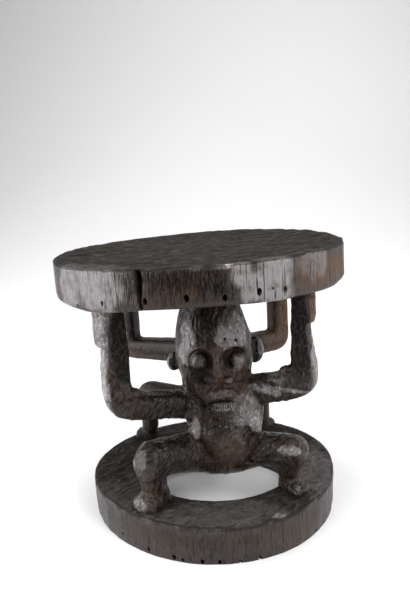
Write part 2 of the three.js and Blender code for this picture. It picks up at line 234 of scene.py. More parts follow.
# Smooth curve through rows of numbers: each stretch is a cubic set by its four nearest rows
def through(rows, t):
    rows = np.asarray(rows, float)
    last = len(rows) - 1
    place = np.clip(t, 0, 1) * last
    i = np.minimum(place.astype(int), last - 1)
    f = (place - i)[:, None]
    a, b, c, d = rows[np.maximum(i - 1, 0)], rows[i], rows[i + 1], rows[np.minimum(i + 2, last)]
    square, cube = 2 * a - 5 * b + 4 * c - d, 3 * b - a - 3 * c + d
    return 0.5 * (2 * b + (c - a) * f + square * f**2 + cube * f**3)


def unit(v):
    v = np.asarray(v, float)
    return v / np.linalg.norm(v, axis=-1, keepdims=True)


# Point round a centre in plan, degrees counted from the front towards the right
def around(centre, radius, degrees, height=0.0):
    a = np.radians(degrees)
    return np.array([centre[0] + radius * np.sin(a), centre[1] - radius * np.cos(a), height])


# Surfaces on grids


# Rounded square round a circle of angles: power 2 is an ellipse, and higher is squarer
def roundSquare(angle, halfWidth, halfDepth, power):
    c, s = np.cos(angle), np.sin(angle)
    return (
        halfWidth * np.sign(c) * np.abs(c) ** (2 / power),
        halfDepth * np.sign(s) * np.abs(s) ** (2 / power),
    )


# Angles of the sides round a ring, in the middle of each side
def sideAngles(sides):
    return (np.arange(sides) + 0.5) / sides * 2 * np.pi


# Faces between the rings of a grid. A closed grid runs on from its last ring to its first.
def gridQuads(rings, sides, closed=False):
    ring, side = (i.ravel() for i in np.indices((rings if closed else rings - 1, sides)))
    above, beside = (ring + 1) % rings, (side + 1) % sides
    return np.stack([
        ring * sides + side, ring * sides + beside, above * sides + beside, above * sides + side,
    ], 1)


# Closed skin over a grid of rings by sides, each end drawn to the middle of its ring
def skin(grid):
    rings, sides = grid.shape[:2]
    points = np.concatenate([grid.reshape(-1, 3), grid[:1].mean(1), grid[-1:].mean(1)])
    i = np.arange(sides)
    j = (i + 1) % sides
    start, top = rings * sides, (rings - 1) * sides
    caps = np.concatenate([
        np.stack([np.full(sides, start), j, i], 1),
        np.stack([np.full(sides, start + 1), top + i, top + j], 1),
    ])
    return points, gridQuads(rings, sides), caps


# Rounded square carried along a smooth path. Width lies along "side", depth across it, and
# both ends are rounded off by rings that shrink as a quarter circle does.
def sweep(path, sizes, side, power=2.6, rings=44, sides=40, dome=1.0):
    t = np.linspace(0, 1, rings)
    centre = through(path, t)
    size = through(sizes, t)
    ahead = unit(np.gradient(centre, axis=0))
    a = np.radians([86, 72, 56, 38, 19])  # the dome's rings, from its tip
    low, high = dome * size[0].min(), dome * size[-1].min()
    centre = np.concatenate([
        centre[0] - np.outer(np.sin(a) * low, ahead[0]),
        centre,
        centre[-1] + np.outer(np.sin(a[::-1]) * high, ahead[-1]),
    ])
    shrink = np.concatenate([np.cos(a), np.ones(rings), np.cos(a[::-1])])[:, None]
    repeat = np.concatenate([np.zeros(len(a), int), np.arange(rings), np.full(len(a), rings - 1)])
    size, ahead = size[repeat], ahead[repeat]
    deep = unit(np.cross(ahead, np.asarray(side, float)))
    across = np.cross(deep, ahead)
    angle = sideAngles(sides)[None, :]
    x, y = roundSquare(angle, size[:, :1] * shrink, size[:, 1:] * shrink, power)
    return skin(centre[:, None] + x[..., None] * across[:, None] + y[..., None] * deep[:, None])


# Egg: rings of latitude on a ball stretched to three radii, turned in plan
def egg(centre, radii, turn=0.0, sides=36, down=24):
    u = (np.arange(down) + 0.5) / down * np.pi
    v = sideAngles(sides)
    x = radii[0] * np.sin(u)[:, None] * np.cos(v)
    y = radii[1] * np.sin(u)[:, None] * np.sin(v)
    z = np.broadcast_to(-radii[2] * np.cos(u)[:, None], x.shape)
    c, s = math.cos(math.radians(turn)), math.sin(math.radians(turn))
    return skin(np.stack([x * c - y * s, x * s + y * c, z], 2) + np.asarray(centre, float))


# One object from many skins, in metres
def objectFrom(name, skins):
    points, faces, offset = [], [], 0
    for vertices, quads, caps in skins:
        points.append(vertices)
        faces += (quads + offset).tolist() + (caps + offset).tolist()
        offset += len(vertices)
    mesh = bpy.data.meshes.new(name)
    mesh.from_pydata((np.concatenate(points) * mm).tolist(), [], faces)
    mesh.validate()
    obj = bpy.data.objects.new(name, mesh)
    bpy.context.scene.collection.objects.link(obj)
    return obj


def read(items, name, width, kind=float):
    flat = np.empty(len(items) * width, kind)
    items.foreach_get(name, flat)
    return flat.reshape(-1, width)


def pointsOf(obj):
    return read(obj.data.vertices, "co", 3) / mm


def normalsOf(obj):
    return read(obj.data.vertices, "normal", 3)


def edgesOf(obj):
    return read(obj.data.edges, "vertices", 2, int)


def setPoints(obj, points):
    obj.data.vertices.foreach_set("co", (points * mm).ravel())
    obj.data.update()


# Each value drawn towards the mean of its neighbours along edges, some rounds over
def eased(values, edges, rounds, share=0.5):
    count = len(values)
    a = np.concatenate([edges[:, 0], edges[:, 1]])
    b = np.concatenate([edges[:, 1], edges[:, 0]])
    many = np.maximum(np.bincount(a, minlength=count), 1)
    now = values.reshape(count, -1).copy()
    for _ in range(rounds):
        total = np.stack([np.bincount(a, now[b, k], count) for k in range(now.shape[1])], 1)
        now += share * (total / many[:, None] - now)
    return now.reshape(values.shape)


# Swaps an object's mesh for what its modifiers make of it
def finished(obj):
    shown = obj.evaluated_get(bpy.context.evaluated_depsgraph_get())
    made = bpy.data.meshes.new_from_object(shown)
    old = obj.data
    obj.modifiers.clear()
    obj.data = made
    bpy.data.meshes.remove(old)


# Melts what overlaps into one closed mesh. The voxel is in mm.
def fused(obj, voxel):
    remesh = obj.modifiers.new("fuse", "REMESH")
    remesh.mode = "VOXEL"
    remesh.voxel_size = voxel * mm
    finished(obj)


# Joins or cuts an object with another one, which is used up
def boolean(obj, other, operation):
    cut = obj.modifiers.new("join", "BOOLEAN")
    cut.operation = operation
    cut.solver = "MANIFOLD"
    cut.object = other
    finished(obj)
    bpy.data.objects.remove(other)


def trianglesIn(obj):
    return sum(len(p.vertices) - 2 for p in obj.data.polygons)


def thinned(obj, triangles):
    now = trianglesIn(obj)
    if now > triangles:
        thin = obj.modifiers.new("thin", "DECIMATE")
        thin.ratio = triangles / now
        finished(obj)


# Seat

seatSizes = {
    "radius": 214.5,
    "thickness": 58.0,
    "rim": 15.0,
    "dish": 5.0,
    # Profile, in mm from the radius and from the underside or the top, and in shares of the
    # dish's radius and depth
    "underEdge": ((-6, 0), (-2.2, 1.6), (0, 6)),
    "topEdge": ((0.2, -4.4), (-0.8, -2), (-3.2, -1)),
    "rimHeight": -1.4,
    "dishRows": ((0.9, 0.5), (0.75, 0.85), (0.5, 1.1)),
    "middle": 0.8,  # radius at which the two ends close
    "gaps": (20, 4, 4, 5.5, 2, 2, 3, 4, 4.6, 4.6, 4.6),  # mm between the mesh's rings
    "sides": 300,
    "tiltAcross": 0.96,  # degrees, right side high
    "tiltAlong": 0.56,  # degrees, front side high
    "lobes": ((3, 0.02, -21.0),),
    "facet": 1.0,  # mm, how deep the adze flattens the side
    "facetWidth": 30.0,
    "facetFrom": 0.9,  # share of the radius at which the flats begin
    "sag": 5.0,  # mm, where the top's edge has sunk
    "sagFrom": 0.8,  # share of the dish's radius at which that begins
    "sagAt": -160.0,
    "sagSpan": 38.0,
    # Underside's edge: swells as degrees from the front, span and mm, and waves as the number
    # round, a shift in degrees and mm
    "swells": ((-48, 20, -3.5), (-12, 18, 4.0)),
    "waves": ((5, 40, 1.2), (11, 0, 0.7)),
    "waveFrom": 0.86,  # share of the radius at which both begin
    "bevel": 1.2,  # mm, worn edge at the left front
    "bevelWidth": 9,
    "bevelFrom": (-84, -66),  # degrees over which it begins and ends
    "bevelTo": (-36, -20),
    "cuts": (((34, 15, 30), 3.0, 0.42, 11), ((13, 6.5, 30), 1.1, 0.4, 12)),
    "hills": (((70, 46, 50), 1.0, 13),),
    "calmRim": 0.4,  # share by which the cuts grow shallower on the rim
    "calmFrom": 12,  # mm inside the dish's edge and inside the radius, where that begins and ends
    "calmTo": 4,
    "sunk": 1.6,  # mm, the top's mean lies below the profile, inside the model's box
    "topFrom": (-9, -3),  # mm of height over which the side's grain gives way to the cuts
    "grain": (((3.2, 3.2, 40), 0.22, 14), ((9, 9, 60), 0.4, 15), ((26, 26, 30), 0.5, 16)),
}
# Turns places to the slant of the seat's adze cuts
seatSlant = np.array([[0.94, -0.34, 0], [0.34, 0.94, 0], [0, 0, 1]])


# Profile of one piece carried round: rows are radius and height, and each stretch between two
# rows is divided evenly into steps of about its gap
def profileLine(rows, gaps):
    rows = np.asarray(rows, float)
    line = []
    for start, end, gap in zip(rows[:-1], rows[1:], gaps):
        count = max(1, round(np.linalg.norm(end - start) / gap))
        line.append(start + (end - start) * (np.arange(count) / count)[:, None])
    return np.concatenate(line + [rows[-1:]])


# Lobed outline: a cosine or two round the circle, rows of number, share of the radius and degrees
def lobed(turn, lobes):
    return 1 + sum(share * np.cos(count * (turn - math.radians(at))) for count, share, at in lobes)


# Flats left by broad adze cuts: half a cosine wave across each, of random depth, as the share of
# the radius by which it lies in from it
def adzeFlats(turn, width, depth, radius, seed):
    many = round(2 * math.pi * radius / width)
    jitter = np.random.default_rng(seed).random(many) * 0.7 - 0.35
    deep = np.random.default_rng(seed + 1).random(many) * 0.9 + 0.35
    place = (turn / (2 * np.pi)) % 1 * many
    i = place.astype(int) % many
    off = np.clip(place - (i + 0.5 + jitter[i]), -0.9, 0.9)
    return depth * deep[i] * np.cos(off * np.pi / 1.8) / radius


# Seat: its profile carried round a lobed outline, then the side's flats, the sunk and worn
# edges, the ripples on top and the grain down the side, and last its tilt
def makeSeat():
    s = seatSizes
    radius, under = s["radius"], -s["thickness"]
    dishRadius = radius - s["rim"]
    rows = [(s["middle"], under)]
    rows += [(radius + out, under + up) for out, up in s["underEdge"]]
    rows += [(radius + out, up) for out, up in s["topEdge"]] + [(dishRadius, s["rimHeight"])]
    rows += [(dishRadius * out, -s["dish"] * down) for out, down in s["dishRows"]]
    rows.append((s["middle"], rows[-1][1]))
    line = profileLine(rows, s["gaps"])
    angle = sideAngles(s["sides"])
    flats = adzeFlats(angle, s["facetWidth"], s["facet"], radius, 5) * radius
    inset = flats * easeBetween(line[:, :1], radius * s["facetFrom"], radius - 1)
    reach = line[:, :1] * lobed(angle, s["lobes"]) - inset
    x, y = reach * np.cos(angle), reach * np.sin(angle)
    z = np.broadcast_to(line[:, 1:], x.shape).copy()
    far, fromFront = np.hypot(x, y), np.degrees(np.arctan2(x, -y))
    turn = (fromFront - s["sagAt"] + 180) % 360 - 180
    high = easeBetween(z, under / 2, 0)
    sag = s["sag"] * np.exp(-((turn / s["sagSpan"]) ** 2))
    z -= high * sag * easeBetween(far, dishRadius * s["sagFrom"], radius)
    low = 1 - easeBetween(z, under, under / 2)
    wave = sum(deep * np.exp(-(((fromFront - at) / span) ** 2)) for at, span, deep in s["swells"])
    for many, shift, deep in s["waves"]:
        wave += deep * np.sin(np.radians(fromFront * many + shift))
    z += low * easeBetween(far, radius * s["waveFrom"], radius) * wave
    bevel = easeBetween(fromFront, *s["bevelFrom"]) * (1 - easeBetween(fromFront, *s["bevelTo"]))
    z -= s["bevel"] * bevel * high * easeBetween(far, radius - s["bevelWidth"], radius + 1)
    grid = np.stack([x, y, z], 2)
    flat = grid.reshape(-1, 3)
    top = easeBetween(flat[:, 2], *s["topFrom"])
    depth = cutDepth(flat @ seatSlant * [1, 1, 0] + [0, 0, 4], s["cuts"])
    depth += noiseHeight(flat * [1, 1, 0], s["hills"])
    calmed = easeBetween(far.ravel(), dishRadius - s["calmFrom"], radius - s["calmTo"])
    flat[:, 2] += top * ((1 - s["calmRim"] * calmed) * depth - s["sunk"])
    side = (1 - top) * easeBetween(flat[:, 2], under, under + 5)
    flat += unit(flat * [1, 1, 0] + 1e-9) * (side * noiseHeight(flat, s["grain"]))[:, None]
    a, b = math.radians(-s["tiltAlong"]), math.radians(-s["tiltAcross"])
    turnX = np.array([[1, 0, 0], [0, math.cos(a), -math.sin(a)], [0, math.sin(a), math.cos(a)]])
    turnY = np.array([[math.cos(b), 0, math.sin(b)], [0, 1, 0], [-math.sin(b), 0, math.cos(b)]])
    placed = flat @ (turnY @ turnX).T + [*places["seatCentre"], places["seatTop"]]
    return objectFrom("seat", [skin(placed.reshape(grid.shape))])


# Base ring

ringSizes = {
    "radius": 194.5,
    "foot": 192.5,
    "hole": 118.5,
    "thickness": 56.0,
    "gaps": (25, 6, 4.6, 6),  # mm between the mesh's rings, underneath, outside, on top and inside
    "sides": 272,
    "lobes": ((2, 0.007, -72.0), (3, 0.018, 42.0)),
    "facet": 1.1,
    "facetWidth": 27.0,
    "edge": 1.1,  # mm by which the edges are worn back, and down on top
    "edgeDrop": 0.8,
    "edgeUnder": 0.7,  # share of the wear underneath
    "edgeShare": 0.06,  # share of the ring's width over which the strokes fade at both edges
    "calmEdge": 0.65,  # share by which they do
    "strokeTurn": 0.74,  # radians, from the stool's width towards its back
    "strokeBend": (0.12, 70),  # radians by which that wavers, and mm of width for a radian of wave
    "strokeDrift": 11,  # mm
    "strokes": (((10, 30, 30), 3.2, 0.42, 22), ((5, 13, 30), 0.8, 0.4, 23)),
    "hills": (((48, 48, 50), 0.8, 24),),
    "grain": (((3.4, 3.4, 46), 0.25, 25), ((11, 11, 70), 0.45, 26), ((30, 30, 30), 0.4, 27)),
}


# Places for the ring's strokes: distance across and along their slant, with a slow drift
def laidStrokes(points):
    bend, length = ringSizes["strokeBend"]
    turn = ringSizes["strokeTurn"] + bend * np.sin(points[:, 0] / length)
    drift = ringSizes["strokeDrift"] * softNoise(points * [1, 1, 0], (26, 26, 26), 51)
    across = points[:, 1] * np.cos(turn) - points[:, 0] * np.sin(turn) + drift
    along = points[:, 0] * np.cos(turn) + points[:, 1] * np.sin(turn)
    return np.stack([across, along, 0 * across + 3], 1)


# Ring: an outline pushed by lobes outside and a plain circle inside, with the closed profile
# of the ring's section blended between the two, then worn edges, strokes on top and grain
def makeRing():
    s = ringSizes
    tall, wide = s["thickness"], s["radius"] - s["hole"]
    angle = sideAngles(s["sides"])
    # Section rows are the share from the hole's wall to the outside, and height
    under, outside, above, inner = s["gaps"]
    rows = [(0, 0), (1, 0), (1, tall), (0, tall), (0, 0)]
    line = profileLine(rows, (under / wide, outside, above / wide, inner))[:-1]
    share, z = line[:, :1], np.broadcast_to(line[:, 1:], (len(line), s["sides"]))
    reach = lobed(angle, s["lobes"]) - adzeFlats(angle, s["facetWidth"], s["facet"], s["radius"], 21)
    reach = reach * (s["foot"] + (s["radius"] - s["foot"]) * z / tall)
    shift = np.array(places["holeCentre"]) - places["ringCentre"]
    inX, inY = shift[0] + s["hole"] * np.cos(angle), shift[1] + s["hole"] * np.sin(angle)
    x = inX + (reach * np.cos(angle) - inX) * share
    y = inY + (reach * np.sin(angle) - inY) * share
    grid = np.stack([x, y, z], 2)
    flat = grid.reshape(-1, 3)
    edge = np.broadcast_to(share, x.shape).ravel()
    top = easeBetween(flat[:, 2], tall - 0.6, tall)
    bottom = 1 - easeBetween(flat[:, 2], 0, 0.6)
    out = unit(flat * [1, 1, 0] + 1e-9)
    rim = (edge > 0.999) | (edge < 0.001)
    inwards = np.where(edge > 0.5, -1.0, 1.0)
    flat += out * (rim * (top + bottom * s["edgeUnder"]) * inwards * s["edge"])[:, None]
    flat[:, 2] -= rim * top * s["edgeDrop"]
    near = s["edgeShare"]
    inside = easeBetween(edge, 0, near) * (1 - easeBetween(edge, 1 - near, 1))
    depth = cutDepth(laidStrokes(flat), s["strokes"]) + noiseHeight(flat * [1, 1, 0], s["hills"])
    flat[:, 2] += top * (1 - s["calmEdge"] * (1 - inside)) * depth
    wall = 1 - np.maximum(top, bottom)
    flat += out * (wall * noiseHeight(flat, s["grain"]))[:, None]
    flat[bottom > 0.5, 2] = 0
    quads = gridQuads(*x.shape, closed=True)
    return objectFrom("ring", [(flat + [*places["ringCentre"], 0], quads, np.empty((0, 3), int))])


# Figures

# Point of a figure's own body: right of its middle line, out from the shared back, and up, as
# shares of the figure's height. facing is -1 for the front figure and 1 behind.
def onBody(facing, right, out, height):
    x, y = places["bodyCentre"]
    return np.array([
        x - facing * figureHeight * right,
        y + facing * figureHeight * out,
        places["ringTop"] + figureHeight * height,
    ])


def onFront(*place):
    return onBody(-1, *place)


def shares(*values):
    return tuple(value * figureHeight for value in values)


# What differs between the front figure, -1, and the one behind, 1. Narrow is the share of the
# trunk's usual width, and muscleSpread of the chest muscles' distance from the middle. The others
# are in shares of the height. Lap: half width and half height. Ears: right, height, half width,
# half height, and the share of those hollowed out. Worm holes in the forehead: right, out, height.
figures = {
    -1: {
        "narrow": 1.0,
        "muscleSpread": 1.0,
        "lap": (0.2, 0.108),
        "ears": ((-0.2, 0.628, 0.04, 0.05, 0.58), (0.205, 0.662, 0.048, 0.068, 0.12)),
        "holes": ((-0.056, 0.3, 0.772), (0.047, 0.305, 0.779), (0.099, 0.3, 0.768)),
    },
    1: {
        "narrow": 0.82,
        "muscleSpread": 0.7,
        "lap": (0.13, 0.09),
        "ears": ((-0.165, 0.66, 0.03, 0.045, 0.5), (0.165, 0.66, 0.03, 0.045, 0.5)),
        "holes": ((0.04, 0.3, 0.82), (-0.06, 0.3, 0.78)),
    },
}

headSizes = {
    "out": 0.16,
    # height, half width, depth to the front, depth to the back, shift to the right
    "rows": [
        (0.315, 0.03, 0.11, 0.09, 0.015),
        (0.345, 0.06, 0.145, 0.1, 0.015),
        (0.385, 0.085, 0.158, 0.12, 0.014),
        (0.43, 0.112, 0.163, 0.14, 0.012),
        (0.48, 0.142, 0.163, 0.15, 0.009),
        (0.535, 0.166, 0.158, 0.16, 0.005),
        (0.6, 0.182, 0.152, 0.165, 0.003),
        (0.67, 0.19, 0.154, 0.17, 0.002),
        (0.735, 0.187, 0.165, 0.17, 0),
        (0.8, 0.172, 0.164, 0.165, 0),
        (0.87, 0.15, 0.148, 0.155, -0.002),
        (0.94, 0.134, 0.13, 0.145, -0.004),
        (1.0, 0.128, 0.12, 0.14, 0),
        (1.05, 0.13, 0.12, 0.14, 0),
    ],
    "power": 2.3,
}


# Block: rows of half sizes joined by a smooth curve up the height, a rounded square round it
def blockForm(facing, sizes, narrow=1.0):
    rows = through(sizes["rows"], np.linspace(0, 1, 70)) * [1, narrow, 1, 1, narrow]
    x, y = roundSquare(sideAngles(56)[None, :], rows[:, 1:2], 1.0, sizes["power"])
    depth = np.where(y < 0, rows[:, 2:3], rows[:, 3:4])
    height = np.broadcast_to(rows[:, :1], x.shape)
    return skin(onBody(facing, rows[:, 4:5] + x, sizes["out"] - y * depth, height).transpose(1, 2, 0))


trunkSizes = {
    "out": 0.14,
    "rows": [
        (0.08, 0.045, 0.085, 0.06, 0.05),
        (0.104, 0.078, 0.14, 0.12, 0.05),
        (0.134, 0.105, 0.186, 0.14, 0.049),
        (0.175, 0.132, 0.213, 0.15, 0.046),
        (0.22, 0.152, 0.224, 0.15, 0.041),
        (0.27, 0.166, 0.226, 0.15, 0.033),
        (0.315, 0.172, 0.216, 0.15, 0.025),
        (0.36, 0.172, 0.19, 0.15, 0.02),
        (0.42, 0.168, 0.165, 0.15, 0.015),
        (0.48, 0.15, 0.14, 0.14, 0.012),
        (0.54, 0.11, 0.1, 0.12, 0.01),
    ],
    "power": 2.2,
}

# Chest muscles: rows of right, out, height, half width and half thickness
muscles = (
    (
        (-0.13, 0.2, 0.47, 0.035, 0.05),
        (-0.125, 0.262, 0.39, 0.036, 0.05),
        (-0.118, 0.292, 0.29, 0.018, 0.03),
    ),
    (
        (0.13, 0.235, 0.475, 0.045, 0.05),
        (0.158, 0.27, 0.39, 0.066, 0.062),
        (0.186, 0.285, 0.3, 0.026, 0.035),
    ),
)


def muscleForms(facing):
    spread = figures[facing]["muscleSpread"]
    forms = []
    for rows in muscles:
        path = [onBody(facing, row[0] * spread, *row[1:3]) for row in rows]
        forms.append(sweep(path, [shares(*row[3:]) for row in rows], (1, 0, 0), power=3))
    return forms


# Lap: what carries the thighs under the belly, half width and half height, lower in the middle
def lapForm(facing):
    wide, tall = figures[facing]["lap"]
    rows = ((-1, 0.18), (0, 0.158), (1, 0.18))
    path = [onBody(facing, 0.02 + side * (wide - 0.06), 0.16, height) for side, height in rows]
    return sweep(path, [shares(0.15, tall)] * 3, (0, 1, 0), power=3, dome=0.5)


# Arms, with the sizes of the CAD part. In degrees round from the front, left negative: angle on
# the seat, outward, the way the elbow's flat looks, and handFace. In mm: inset from the seat's
# edge, sink into its underside, lean of the top and handPlace. The others are shares of the
# figure's height, but taper, the forearm's growing thinner, and near, how wide the elbow turns.
usualArm = {"seatRadius": 215, "sink": 14, "apart": 0.1, "back": 0.12, "near": 0.8, "lean": (0, 0)}
backArm = {
    **usualArm, "elbow": 0.56, "shoulder": 0.59, "back": 0.17, "upper": 0.06, "fore": 0.053,
    "taper": (1.0, 0.96, 0.8), "hand": 0.84, "handSize": (0.036, 0.022),
}
# Legs: angle on the ring and point, the way the foot goes, in degrees; off and kneeOut, outwards,
# and long and wide in shares of the ring's width; toe in shares of the foot's half width and
# ankleAt of its length; the others in shares of the figure's height
usualLeg = {"apart": 0.1, "out": 0.2, "footPower": 2.6}
backLeg = {
    **usualLeg, "long": 0.5, "wide": 0.42, "kneeOut": 0.06, "hip": 0.27, "thigh": 0.07, "shin": 0.047,
    "ankle": 0.07, "ankleAt": 0.1, "toe": 0.8,
}
limbSizes = [
    {
        "facing": -1, "side": -1,
        "arm": {
            **usualArm, "angle": -42.4, "inset": 39, "splay": 0.022, "elbow": 0.52, "shoulder": 0.395,
            "upper": 0.064, "fore": 0.062, "taper": (1.0, 0.92, 0.72), "near": 1.3, "outward": -68,
            "lean": (-2, 0), "hand": 0.824, "handPlace": (-15, -13), "handFace": -38,
            "handSize": (0.049, 0.029), "lump": ((-104, -134, 229), (12, 10, 9)),
        },
        "leg": {
            **usualLeg, "angle": -38, "off": -0.04, "point": -40, "long": 0.8, "wide": 0.56,
            "footPower": 3.4, "toe": 0.85, "knee": 0.245, "kneeOut": 0, "hip": 0.17, "thigh": 0.083,
            "shin": 0.062, "ankle": 0.08, "ankleAt": 0.26,
        },
    },
    {
        "facing": -1, "side": 1,
        "arm": {
            **usualArm, "angle": 46.7, "inset": 26, "splay": 0.003, "elbow": 0.58, "shoulder": 0.44,
            "upper": 0.07, "fore": 0.06, "taper": (1.0, 0.72, 0.58), "near": 0.7, "outward": 60,
            "lean": (-6, 0), "hand": 0.88, "handPlace": (5.5, -11.5), "handFace": 40,
            "handSize": (0.036, 0.025), "lump": ((110, -131, 247), (10, 9, 9)),
        },
        "leg": {
            **usualLeg, "angle": 48.5, "off": -0.06, "point": 38, "long": 0.82, "wide": 0.46,
            "toe": 0.4, "knee": 0.212, "kneeOut": 0.02, "hip": 0.172, "thigh": 0.075, "shin": 0.048,
            "ankle": 0.07, "ankleAt": 0.1,
        },
    },
    {
        "facing": 1, "side": -1,
        "arm": {
            **backArm, "angle": -134.4, "inset": 46, "splay": 0.005, "outward": -118,
            "handPlace": (-8, 14), "handFace": -150,
        },
        "leg": {**backLeg, "angle": -138, "off": 0.22, "point": -110, "knee": 0.285},
    },
    {
        "facing": 1, "side": 1,
        "arm": {
            **backArm, "angle": 131, "inset": 36, "splay": 0.003, "outward": 118,
            "handPlace": (8, 14), "handFace": 150,
        },
        "leg": {**backLeg, "angle": 145, "off": 0.2, "point": 140, "knee": 0.275},
    },
]


# Straight path for a sweep: its ends and their mean
def straight(start, end):
    return [start, (start + end) / 2, end]


# Limb that bends once: the path keeps straight towards the bend and rounds it
def bentPath(start, bend, end, near):
    a = bend + unit(start - bend) * near
    b = bend + unit(end - bend) * near
    corner = (a + b) / 4 + bend / 2
    return [start, (start + a) / 2, a, corner, b, (b + end) / 2, end]


# Arm: a sweep from the shoulder round the elbow to the seat, with the hand, a slab laid against
# the forearm from its tip up into the seat, and in front a lump of wood left in the crook
def armForms(facing, side, s):
    rim = s["seatRadius"] - s["inset"]
    under = places["seatUnder"] + s["sink"]
    x, y, _ = around(places["seatCentre"], rim, s["angle"])
    elbowHeight = places["ringTop"] + figureHeight * s["elbow"]
    elbow = around(places["seatCentre"], rim + s["splay"] * figureHeight, s["angle"], elbowHeight)
    shoulder = onBody(facing, side * -facing * s["apart"], s["back"], s["shoulder"])
    top = np.array([x + s["lean"][0], y + s["lean"][1], under])
    upper, fore = shares(s["upper"], s["fore"])
    path = bentPath(shoulder, elbow, top, s["near"] * (upper + fore) / 2)
    sizes = [(upper * 1.12, upper * 1.12), (upper, upper), (upper * 0.96, upper * 0.95)]
    sizes += [(fore * 1.02, fore)] + [(fore * share, fore * share) for share in s["taper"]]
    forms = [sweep(path, sizes, around((0, 0), 1, s["outward"] + 90), power=4.2)]
    x, y = x + s["handPlace"][0], y + s["handPlace"][1]
    tip = np.array([x, y, places["ringTop"] + figureHeight * s["hand"]])
    high = np.array([x, y, under])
    broad, thick = shares(*s["handSize"])
    sizes = [(broad, thick), (broad, thick), (broad * 0.95, thick)]
    across = np.cross(around((0, 0), 1, s["handFace"]), (0, 0, 1))
    forms.append(sweep(straight(tip, high), sizes, across, power=4, sides=32, dome=0.6))
    if "lump" in s:
        forms.append(egg(*s["lump"]))
    return forms


# Leg: a sweep from the hip round the knee to the ankle, and the foot as a short one along the
# ring from heel to toe
def legForms(facing, side, s):
    width = ringSizes["radius"] - ringSizes["hole"]
    middle = (ringSizes["radius"] + ringSizes["hole"]) / 2
    floor = places["ringTop"]
    along = around((0, 0), 1, s["point"])
    mid = around(places["ringCentre"], middle + s["off"] * width, s["angle"], floor)
    length = s["long"] * width
    heel, toe = mid - along * 0.32 * length, mid + along * 0.32 * length
    ankle = heel + along * s["ankleAt"] * length + [0, 0, s["ankle"] * figureHeight]
    kneeHeight = floor + s["knee"] * figureHeight
    knee = around(places["ringCentre"], middle + s["kneeOut"] * width, s["angle"], kneeHeight)
    hip = onBody(facing, side * -facing * s["apart"], s["out"], s["hip"])
    thigh, shin = shares(s["thigh"], s["shin"])
    path = bentPath(hip, knee, ankle, (thigh + shin) / 4)
    sizes = [(1.1, 1.2), (1, 1.12), (0.97, 1), (0.9, 0.88)], [(1.2, 1.2), (1, 1.02), (0.95, 1)]
    sizes = [(size * a, size * b) for size, rows in zip((thigh, shin), sizes) for a, b in rows]
    leg = sweep(path, sizes, unit(np.cross(knee - hip, (0, 0, 1))), power=2.5)
    half = s["wide"] * width / 2
    lift = np.array([0, 0, half])
    path = [heel + lift * 0.3, mid + lift * 0.15, toe + lift * 0.1]
    rows = ((0.8, 0.95), (0.9, (0.95 + s["toe"]) / 2), (1, s["toe"]))
    sizes = [(half * a, half * b) for a, b in rows]
    return [leg, sweep(path, sizes, np.cross((0, 0, 1), along), dome=0.5, power=s["footPower"])]


# Spine: the block between the two backs, up into the seat
def spineForm():
    x, y = places["bodyCentre"]
    low = np.array([x, y, places["ringTop"] + 0.2 * figureHeight])
    high = np.array([x, y, places["seatUnder"] + 10])
    return sweep(straight(low, high), [shares(0.12, 0.17)] * 3, (1, 0, 0), dome=0.2)


# Face, in shares: right, out, height, then half sizes across, out and up
eyeHollows = (
    (-0.078, 0.33, 0.655, 0.067, 0.088, 0.084),
    (-0.072, 0.335, 0.6, 0.054, 0.07, 0.05),
    (0.1, 0.33, 0.69, 0.07, 0.08, 0.052),
    (0.082, 0.325, 0.662, 0.045, 0.07, 0.04),
)
eyeBalls = ((-0.076, 0.262, 0.664, 0.043, 0.042, 0.043), (0.104, 0.268, 0.664, 0.038, 0.042, 0.037))
browHollow = (-0.035, 0.345, 0.82, 0.042, 0.034, 0.13)
cheekHollows = ((-0.085, 0.35, 0.54, 0.05, 0.06, 0.075), (0.105, 0.35, 0.56, 0.055, 0.055, 0.07))
nostrilWings = ((-0.035, 0.32, 0.588, 0.024, 0.022, 0.019), (0.057, 0.317, 0.577, 0.025, 0.022, 0.019))

# Face ridges: rows of right, out, height and half sizes across and out
noseRidge = (
    (0.004, 0.295, 0.76, 0.012, 0.018), (0.004, 0.31, 0.7, 0.015, 0.02),
    (0.004, 0.326, 0.65, 0.018, 0.022), (0.006, 0.33, 0.612, 0.024, 0.02),
)
upperLip = (
    (-0.085, 0.25, 0.435, 0.014, 0.012), (-0.04, 0.304, 0.49, 0.024, 0.02),
    (0.024, 0.322, 0.514, 0.027, 0.02), (0.076, 0.308, 0.502, 0.024, 0.02),
    (0.125, 0.252, 0.45, 0.014, 0.012),
)

# Mouth: its middle, half sizes of the opening, and a row of teeth that bows back and up at its
# ends by the square of the place along it
mouth = {
    "right": 0.02,
    "height": 0.456,
    "opening": (0.084, 0.062, 0.025),
    "teeth": 11,
    "row": 0.12,
    "rowOut": 0.322,
    "rowDown": 0.013,
    "bowBack": 0.16,
    "bowUp": 0.03,
    "toothSize": (0.0034, 0.007),
    "toothHalf": 0.012,
}


def eggsOn(facing, rows):
    return [egg(onBody(facing, *row[:3]), shares(*row[3:])) for row in rows]


def ridgeOn(facing, rows, side):
    path = [onBody(facing, *row[:3]) for row in rows]
    return sweep(path, [shares(*row[3:]) for row in rows], side, sides=28)


def faceForms(facing):
    forms = eggsOn(facing, eyeBalls + nostrilWings)
    return forms + [ridgeOn(facing, noseRidge, (1, 0, 0)), ridgeOn(facing, upperLip, (0, 0, 1))]


def earForms(facing):
    ears = figures[facing]["ears"]
    rows = [(right, 0.125, height, wide, 0.024, tall) for right, height, wide, tall, _ in ears]
    return eggsOn(facing, rows)


